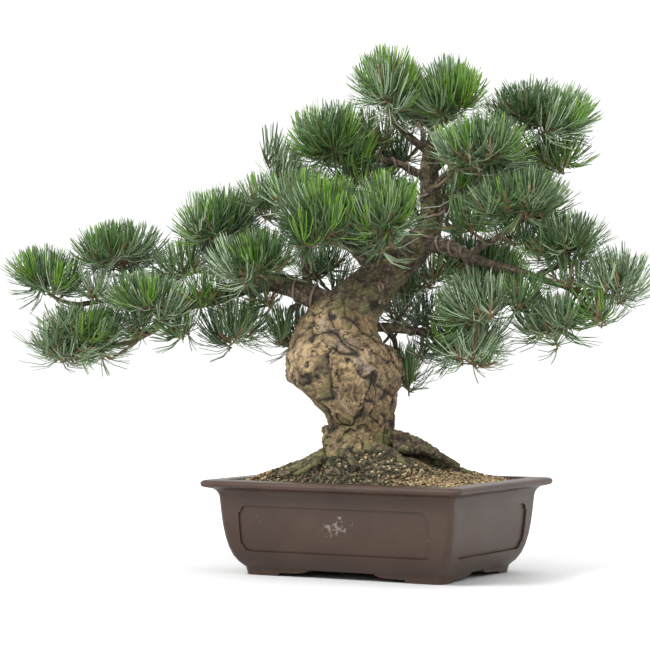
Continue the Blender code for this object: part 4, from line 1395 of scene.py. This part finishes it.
def brush(twig, rng):
    """Feet and directions of the bundles of needles round the end of one shoot."""
    k = np.arange(FASCICLES)
    along = (k + 0.5) / FASCICLES
    angle = k * GOLDEN_ANGLE + rng.uniform(0, 6.3)
    spread = rng.normal(size=FASCICLES) * ANGLE_SPREAD
    polar = np.radians(WIDEST_ANGLE - CLOSING_ANGLE * along + spread)
    side = unit(np.cross(twig.aim, np.array([0.31, 0.52, 0.79])))
    other = np.cross(twig.aim, side)
    flat = np.cos(angle)[:, None] * side + np.sin(angle)[:, None] * other
    heading = np.cos(polar)[:, None] * twig.aim + np.sin(polar)[:, None] * flat
    feet = twig.points[-1] + twig.aim * ((along - 0.75) * SHOOT_LENGTH)[:, None]
    return feet, heading


def needle_arrays(feet, heading, lengths, curl, wide, rng):
    """Points of the needles: three sides, three rings and a tip each, outer side first."""
    count = len(feet)
    outward = rng.normal(size=(count, 3)) * 0.25 - UP * 0.2
    outward -= heading * (outward * heading).sum(1)[:, None]
    outward += rng.normal(size=(count, 3)) * 0.3
    outward -= heading * (outward * heading).sum(1)[:, None]
    outward /= np.linalg.norm(outward, axis=1)[:, None]
    side = np.cross(heading, outward)
    widths = np.array(NEEDLE_TAPER) * NEEDLE_WIDTH / 2 * wide
    depths = np.array(NEEDLE_TAPER) * NEEDLE_DEPTH
    points = np.empty((count, 10, 3))
    for ring, s in enumerate(NEEDLE_RINGS):
        middle = feet + (heading * s + curl * s * s) * lengths[:, None]
        points[:, ring * 3] = middle + side * widths[ring] + outward * depths[ring] * 0.3
        points[:, ring * 3 + 1] = middle - side * widths[ring] + outward * depths[ring] * 0.3
        points[:, ring * 3 + 2] = middle - outward * depths[ring] * 0.7
    points[:, 9] = feet + (heading + curl) * lengths[:, None]
    return points


def needle_faces():
    """Corners, sizes and kinds of one needle's faces: kind 0 outside, kind 1 inside."""
    corners, sizes, kinds = [], [], []
    sides = ((1, 0, 0), (2, 1, 1), (0, 2, 1))
    for low in (0, 3, 6):
        for a, b, kind in sides:
            upper = [9] if low == 6 else [low + 3 + b, low + 3 + a]
            corners += [low + a, low + b, *upper]
            sizes.append(2 + len(upper))
            kinds.append(kind)
    return np.array(corners), np.array(sizes), np.array(kinds)


def add_sheaths(sheaths, feet, heading):
    """A small brown scale at the foot of each bundle of needles."""
    side = np.cross(heading, np.array([0.43, 0.31, 0.85]))
    side /= np.linalg.norm(side, axis=1)[:, None]
    other = np.cross(heading, side)
    ring = [side, -0.5 * side + 0.87 * other, -0.5 * side - 0.87 * other]
    points = [feet + spoke * SHEATH_RADIUS for spoke in ring]
    points += [feet + heading * SHEATH_LENGTH + spoke * SHEATH_RADIUS * 0.5 for spoke in ring]
    sheaths.append(np.stack(points, 1))


def bundles(twig, rng):
    """Feet, headings, lengths and curl of the needles round the end of one shoot."""
    feet, heading = brush(twig, rng)
    spread = rng.normal(size=(len(feet), NEEDLES_A_FASCICLE, 3)) * BUNDLE_SPREAD
    heading = heading[:, None] + spread
    heading /= np.linalg.norm(heading, axis=2)[..., None]
    heading = heading.reshape(-1, 3)
    feet = np.repeat(feet, NEEDLES_A_FASCICLE, axis=0)
    lengths = rng.uniform(NEEDLE_SHORT, NEEDLE_LONG, len(feet))
    curl = UP * CURL_RISE + twig.aim * CURL_AIM
    curl = curl - heading * (heading @ curl)[:, None] * 0.8
    return feet, heading, lengths, curl


def needles_kept(space, segments, reach, needles):
    """Which needles stay in the space and off the limbs, and the lengths they get."""
    feet, heading, lengths, curl = needles
    low, high, limb_thick = segments
    kept = space.holds(feet + (heading + curl) * lengths[:, None], reach)
    short = feet + (heading + curl) * (lengths * SHORTENED)[:, None]
    also = space.holds(short, reach) & ~kept
    lengths = np.where(also, lengths * SHORTENED, lengths)
    kept = (kept | also) & ~in_window(feet + heading * (lengths * 0.6)[:, None])
    starts = feet + heading * 4 * MM
    gaps = segment_gaps(starts, feet + (heading + curl) * lengths[:, None], low, high)
    return kept & (gaps > limb_thick + LIMB_ROOM).all(axis=1), lengths


def draw_kind(twig, space, rng):
    """The kind of needles that this shoot gets, and whether its middle ones are fresh."""
    # The brighter kinds are drawn more often high in a mass and in the crown, as painted light on
    # the tops, and the deep green more often low, as painted shade beneath them
    height = (twig.points[-1] - space.middle)[2] / space.half[2]
    crown = float(smoothstep(*CROWN_LIGHT_HEIGHTS, twig.points[-1][2]))
    share = float(np.clip(0.42 + 0.75 * height + 0.3 * crown, 0, 1))
    weights = np.array([high * share + low * (1 - share) for *_, high, low in NEEDLE_KINDS])
    kind = rng.choice(len(NEEDLE_KINDS), p=weights / weights.sum())
    return kind, rng.uniform() < FRESH_SHARE * (0.3 + share)


def grow_needles(twigs, space, segments, rng, gathered, sheaths):
    """Needles round the end of each shoot, by kind. Returns the twigs that stay bare."""
    bare = set()
    for number, twig in enumerate(twigs[1:], 1):
        needles = bundles(twig, rng)
        feet, heading, _, curl = needles
        reach = rng.uniform(*REACH_SHARES)
        kept, lengths = needles_kept(space, segments, reach, needles)
        if kept.mean() < LEAST_KEPT:
            bare.add(number)
            continue
        kind, is_fresh = draw_kind(twig, space, rng)
        central = np.repeat(np.arange(FASCICLES) > FASCICLES * 0.6, NEEDLES_A_FASCICLE)
        fresh = central & is_fresh
        for chosen, new_kind, wide in ((~fresh, kind, 1.0), (fresh, FRESH, FRESH_WIDTH)):
            use = kept & chosen
            if use.any():
                shape = (feet[use], heading[use], lengths[use], curl[use])
                gathered[new_kind].append(needle_arrays(*shape, wide, rng))
        add_sheaths(sheaths, feet[kept][::NEEDLES_A_FASCICLE], heading[kept][::NEEDLES_A_FASCICLE])
    return bare


def draw_twigs(twigs, radii, bare, twigs_batch, buds):
    """Tubes for the twigs that bear needles and those that lead to them, and the bud scales."""
    leading = {0}
    for number in range(len(twigs) - 1, 0, -1):
        if number not in bare or number in leading:
            leading.add(twigs[number].parent)
    for number, twig in enumerate(twigs):
        if number in bare and number not in leading:
            continue
        rings, sides, share = TWIG_TUBE if number else STEM_TUBE
        path, thick = finer(twig.points, radii[number], rings)
        round_tube(twigs_batch, path, thick * share, sides, twig.ahead)
        if number and number not in bare:
            stalk = np.array(BUD_PLACES) * SHOOT_LENGTH
            shoot = twig.points[-1] + twig.aim * stalk[:, None]
            round_tube(buds, shoot, np.array(BUD_RADII) * MM, sides)


def make_sheaths(sheaths, bud):
    """Scales at the feet of the needles: three-sided and closed at both ends."""
    points = np.concatenate(sheaths)
    offsets = np.arange(len(points))[:, None] * 6
    faces = np.array([0, 1, 4, 3, 1, 2, 5, 4, 2, 0, 3, 5, 2, 1, 0, 3, 4, 5])
    corners = (offsets + faces[None]).ravel()
    sizes = np.tile([4, 4, 4, 3, 3], len(points))
    scales = mesh_piece(
        "needle_sheaths", points.reshape(-1, 3), corners, sizes, [bud], smooth=False
    )


def make_needles(gathered):
    """One piece for each kind of needle. The first stands for the solid masses."""
    corners, sizes, kinds = needle_faces()
    for (kind_name, outer, inner, _, _), parts in zip(NEEDLE_KINDS, gathered):
        points = np.concatenate(parts)
        count = len(points)
        offsets = np.arange(count)[:, None] * 10
        finishes = [
            plain_material(f"{kind_name}_outside", outer, 0.38, 900.0),
            plain_material(f"{kind_name}_inside", inner, 0.55, 900.0),
        ]
        piece = mesh_piece(
            f"needles_{kind_name}",
            points.reshape(-1, 3),
            (offsets + corners[None]).ravel(),
            np.tile(sizes, count),
            finishes,
            np.tile(kinds, count),
            False,
        )
        if kind_name == NEEDLE_KINDS[0][0]:
            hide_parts(*MASSES)


def make_foliage(known, twig_bark, bud):
    """Twigs, bud scales and needles of all masses and sprays, each kind joined."""
    twigs_batch = Batch()
    buds = Batch()
    gathered = [[] for _ in NEEDLE_KINDS]
    sheaths = []
    segments = limb_segments(known)
    grown = [mass_growth(name, known, segments) for name in MASSES]
    tips = [known[MASSES[name][0]][1][-1] for name in MASSES]
    grown += [spray_growth(number, known, segments) for number in range(len(SPRAYS))]
    tips += [SPRAY_TIP] * len(SPRAYS)
    for (twigs, space, rng), limb_tip in zip(grown, tips):
        bare = grow_needles(twigs, space, segments, rng, gathered, sheaths)
        draw_twigs(twigs, twig_radii(twigs, limb_tip), bare, twigs_batch, buds)
    make_sheaths(sheaths, bud)
    make_needles(gathered)
    twigs_batch.piece("twigs", twig_bark)
    buds.piece("buds", bud)


# Soil


def soil_height(flat):
    """Height of the soil's top at points in plan."""
    seat = at(TRUNK_STATIONS[0][0], TRUNK_STATIONS[0][1], 0)[:2]
    away_from_seat = flat - seat
    distance = np.linalg.norm(away_from_seat, axis=1)
    direction = away_from_seat / np.maximum(distance, 1e-6)[:, None]
    half = np.array([POT_LENGTH / 2 - LIP_TOP - 1 * MM, POT_WIDTH / 2 - LIP_TOP - 1 * MM])
    wall = np.sign(direction) * half + np.array(POT_MIDDLE) - seat
    room = np.abs(wall / (direction + 1e-9)).min(axis=1)
    t = np.clip(1 - (distance - SEAT_RADIUS) / (room - SEAT_RADIUS), 0, 1)
    rise = 0.5 * (t + 0.5 * (1 - np.cos(math.pi * t)))
    height = SOIL_EDGE + (SOIL_SEAT - SOIL_EDGE) * rise
    heap = at(*HEAP_PLACE, 0)[:2]
    reach = np.linalg.norm((flat - heap) / (np.array(HEAP_REACH) * MM), axis=1)
    return height + HEAP_HEIGHT * np.exp(-(reach**2))


def make_soil(ground, grain_materials, rng):
    """The filled soil: an uneven top, walls inside the pot and a floor. Then its grains."""
    cols, rows = SOIL_GRID
    grid_x, grid_y = np.meshgrid(np.linspace(-1, 1, cols), np.linspace(-1, 1, rows))
    half_x = POT_LENGTH / 2 - LIP_TOP - SOIL_MARGIN
    half_y = POT_WIDTH / 2 - LIP_TOP - SOIL_MARGIN
    flat = np.column_stack(
        [POT_MIDDLE[0] + grid_x.ravel() * half_x, POT_MIDDLE[1] + grid_y.ravel() * half_y]
    )
    bumps = np.array([noise.fractal(Vector((x * 90, y * 90, 0.3)), 0.9, 2.0, 4) for x, y in flat])
    heights = soil_height(flat) + bumps * SOIL_BUMP - 1.0 * MM
    top = np.column_stack([flat, heights])
    base = top.copy()
    base[:, 2] = FLOOR_TOP + 3 * MM
    narrow = (FLOOR_INSET - LIP_TOP + 1 * MM) / half_x
    base[:, :2] = np.array(POT_MIDDLE) + (base[:, :2] - np.array(POT_MIDDLE)) * (1 - narrow)
    numbers = np.arange(rows * cols).reshape(rows, cols)
    first = numbers[:-1, :-1].ravel()
    quads = np.stack([first, first + 1, first + cols + 1, first + cols], -1)
    rim = np.concatenate(
        [numbers[0], numbers[1:, -1], numbers[-1, -2::-1], numbers[-2:0:-1, 0]]
    )
    after = np.roll(rim, -1)
    walls = np.stack([rim + len(top), after + len(top), after, rim], -1)
    batch = Batch()
    batch.add(np.vstack([top, base]), np.vstack([quads, walls, quads[:, ::-1] + len(top)]))
    soil = batch.piece("soil_ground", ground)
    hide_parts("soil")
    make_grains(grain_materials, rng, half_x, half_y)


def icosahedron():
    """Points at a distance of one from the middle, and the faces turned outwards."""
    golden = (1 + math.sqrt(5)) / 2
    ball = []
    for a in (-1, 1):
        for b in (-golden, golden):
            ball += [(0, a, b), (a, b, 0), (b, 0, a)]
    ball = np.array(ball, float)
    ball /= np.linalg.norm(ball[0])
    triangles = []
    for i, j, k in itertools.combinations(range(12), 3):
        a, b, c = ball[[i, j, k]]
        if max(np.linalg.norm(edge) for edge in (a - b, b - c, a - c)) < BALL_EDGE:
            outward = np.dot(np.cross(b - a, c - a), a + b + c) > 0
            triangles.append((i, j, k) if outward else (i, k, j))
    return ball, np.array(triangles)


def make_grains(materials, rng, half_x, half_y):
    """Loose grains, pale at the edges and dark with moss round the trunk."""
    ball, triangles = icosahedron()
    flat = np.column_stack(
        [
            POT_MIDDLE[0] + rng.uniform(-1, 1, GRAINS) * (half_x - GRAIN_MARGIN),
            POT_MIDDLE[1] + rng.uniform(-1, 1, GRAINS) * (half_y - GRAIN_MARGIN),
        ]
    )
    trunk_middle = at(*TRUNK_STATIONS[0][:2], 0)[:2]
    distance = np.linalg.norm(flat - trunk_middle, axis=1)
    keep = distance > GRAIN_KEEP_OFF
    flat, distance = flat[keep], distance[keep]
    size = rng.uniform(*GRAIN_RADII, len(flat)) * MM
    mossy = smoothstep(*MOSS_REACH, distance + rng.normal(size=len(flat)) * 14 * MM)
    draw = rng.uniform(size=len(flat))
    kinds = np.digitize(draw, KIND_BOUNDS)
    kinds = np.where(rng.uniform(size=len(flat)) < mossy * MOSS_SHARE, MOSS_KIND, kinds)
    count = len(flat)
    shapes = ball[None] * rng.uniform(0.72, 1.2, (count, 12, 1))
    shapes = shapes * rng.uniform(0.75, 1.25, (count, 1, 3))
    places = np.column_stack([flat, soil_height(flat) + size * 0.35])
    points = places[:, None] + shapes * size[:, None, None]
    offsets = np.arange(count)[:, None, None] * 12
    grains = mesh_piece(
        "soil_grains",
        points.reshape(-1, 3),
        (offsets + triangles[None]).ravel(),
        np.full(count * len(triangles), 3),
        materials,
        np.repeat(kinds, len(triangles)),
        False,
    )


# Pot


def boolean(piece, tool):
    """A cut of the piece by the tool, as a modifier."""
    modifier = piece.modifiers.new("cut", "BOOLEAN")
    modifier.operation = "DIFFERENCE"
    modifier.solver = "EXACT"
    modifier.object = tool


def body(name, shape, finish):
    """A closed body as an object of its own."""
    points, faces = facing_out(shape)
    mesh = bpy.data.meshes.new(name)
    mesh.from_pydata([tuple(point) for point in points], [], faces)
    mesh.materials.append(finish)
    made = bpy.data.objects.new(name, mesh)
    bpy.context.scene.collection.objects.link(made)
    return made


def apply_cuts(piece):
    graph = bpy.context.evaluated_depsgraph_get()
    applied = bpy.data.meshes.new_from_object(piece.evaluated_get(graph))
    piece.modifiers.clear()
    piece.data = applied


def make_pot(clay):
    """The pot: its turned-in section all round, cut by arches at the feet and by panels."""
    section = pot_section()
    pot = body("pot_body", lofted([pot_ring(inset, up) for inset, up in section]), clay)
    over = 5 * MM
    half_x, half_y = POT_LENGTH / 2, POT_WIDTH / 2
    base = FOOT_INSET + FOOT_TAPER
    tools = []
    feet = (
        ("long_arch", half_x, half_y, LONG_FOOT, "Y"),
        ("short_arch", half_y, half_x, SHORT_FOOT, "X"),
    )
    for name, half, reach, (foot, run), facing in feet:
        arch = foot_arch(half - base - foot, run, over)
        tools.append(body(name, prism(arch, -reach, reach, facing), clay))
    wall_rows = section[2:12]
    floor = body("panel_floor", lofted([pot_ring(i + PANEL_DEPTH, up) for i, up in wall_rows]), clay)
    deep = FOOT_INSET + over
    for half, reach, facing in ((LONG_PANEL_HALF, half_y, "Y"), (SHORT_PANEL_HALF, half_x, "X")):
        for start, end in ((-reach - over, -reach + deep), (reach - deep, reach + over)):
            tool = body("panel_tool", prism(panel_outline(half), start, end, facing), clay)
            boolean(tool, floor)
            apply_cuts(tool)
            tools.append(tool)
    for tool in tools:
        boolean(pot, tool)
    apply_cuts(pot)
    for tool in tools + [floor]:
        bpy.data.objects.remove(tool)
    pot.data.shade_smooth()
    pot.data.set_sharp_from_angle(angle=math.radians(28))
    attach(pot, "root")
    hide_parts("pot")


# Wires


def make_wires(known, finish):
    """Wire wound round some limbs, and two wires down the front of the neck."""
    batch = Batch()
    for name, start, end, turns, thick in WINDINGS:
        count = int(turns * WIRE_A_TURN)
        fine_path, fine_radii = finer(*known[name], WIRE_CELLS + 1)
        _, side, other = frames(fine_path)
        places = np.linspace(start, end, count) * WIRE_CELLS
        cells = places.astype(int)
        angle = np.linspace(0, turns * 2 * math.pi, count) + len(name)
        off = fine_radii[cells] * 1.04 + thick * MM * 0.8
        route = fine_path[cells] + off[:, None] * (
            np.cos(angle)[:, None] * side[cells] + np.sin(angle)[:, None] * other[cells]
        )
        round_tube(batch, route, np.full(count, thick * MM), WIRE_SIDES)
    path, radii = known[TRUNK]
    for shift in NECK_SHIFTS:
        route = []
        for across, up in NECK_COURSE:
            level = int(np.argmin(np.abs(path[:, 2] - up * MM)))
            local = mass_axes() @ (path[level] - np.array([*POT_MIDDLE, 0]))
            side_step = (across + shift) * MM - local[0]
            front = math.sqrt(max(radii[level] ** 2 - side_step**2, 0.0)) + NECK_WIRE
            route.append(at(across + shift, (local[1] - front) / MM, up))
        round_tube(batch, smooth_rows(route, 50), np.full(50, NECK_WIRE), WIRE_SIDES)
    wires = batch.piece("wires", finish)


# Light, floor and camera


def make_stage():
    """A pale floor with painted shade near the pot, where the lamps light it most, fading to white
    far out, a white world and three soft lamps.
    """
    floor_mesh = bpy.data.meshes.new("floor")
    ends = ((-1, -1), (1, -1), (1, 1), (-1, 1))
    corners = [(x * FLOOR_REACH, y * FLOOR_REACH, 0) for x, y in ends]
    floor_mesh.from_pydata(corners, [], [(0, 1, 2, 3)])
    floor = bpy.data.objects.new("floor", floor_mesh)
    bpy.context.scene.collection.objects.link(floor)
    pale = Finish("pale_floor", (0.92, 0.92, 0.92), 0.9)
    far = pale.vector("LENGTH", pale.places())
    spread = pale.stretch(far, FLOOR_FADE, (0.0, 1.0))
    shade = pale.ramp(spread, (0.0, FLOOR_NEAR_SHADE), (1.0, FLOOR_FAR))
    pale.give(pale.shader.inputs["Base Color"], shade)
    floor_mesh.materials.append(pale.material)
    floor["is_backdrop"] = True
    world = bpy.data.worlds.new("studio")
    world.use_nodes = True
    background = world.node_tree.nodes["Background"]
    background.inputs["Color"].default_value = (*WHITE, 1.0)
    background.inputs["Strength"].default_value = WORLD_STRENGTH
    bpy.context.scene.world = world
    bpy.context.scene.view_settings.view_transform = "Standard"
    for name, place, size, power in LAMPS:
        data = bpy.data.lights.new(name, "AREA")
        data.size = size
        data.energy = power
        lamp = bpy.data.objects.new(name, data)
        lamp.location = place
        aim = Vector(LAMP_TARGET) - Vector(place)
        lamp.rotation_euler = aim.to_track_quat("-Z", "Y").to_euler()
        bpy.context.scene.collection.objects.link(lamp)


def make_camera():
    data = bpy.data.cameras.new("camera")
    data.lens = 135
    data.sensor_width = 36
    data.clip_end = 100
    camera = bpy.data.objects.new("camera", data)
    camera.location = CAMERA_PLACE
    camera.rotation_euler = (CAMERA_TILT, 0.0, CAMERA_TURN)
    bpy.context.scene.collection.objects.link(camera)
    bpy.context.scene.camera = camera


def main():
    noise.seed_set(NOISE_SEED)
    make_camera()
    make_stage()
    known = {TRUNK: trunk_rows(TRUNK_STEPS)}
    for name in LIMBS:
        known[name] = limb_rows(name, known)
    make_trunk(bark_material("trunk_bark", *TRUNK_BARK))
    make_boughs(known, bark_material("bough_bark", *BOUGH_BARK))
    make_foliage(known, plain_material(*TWIG_FINISH), plain_material(*BUD_FINISH))
    grains = [plain_material(*finish) for finish in GRAIN_FINISHES]
    make_soil(plain_material(*SOIL_FINISH), grains, np.random.default_rng(SEED))
    make_pot(clay_material())
    make_wires(known, plain_material(*WIRE_FINISH))
    boxes = [[list(map(float, corner)) for corner in box] for box in (cad_box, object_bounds())]


main()
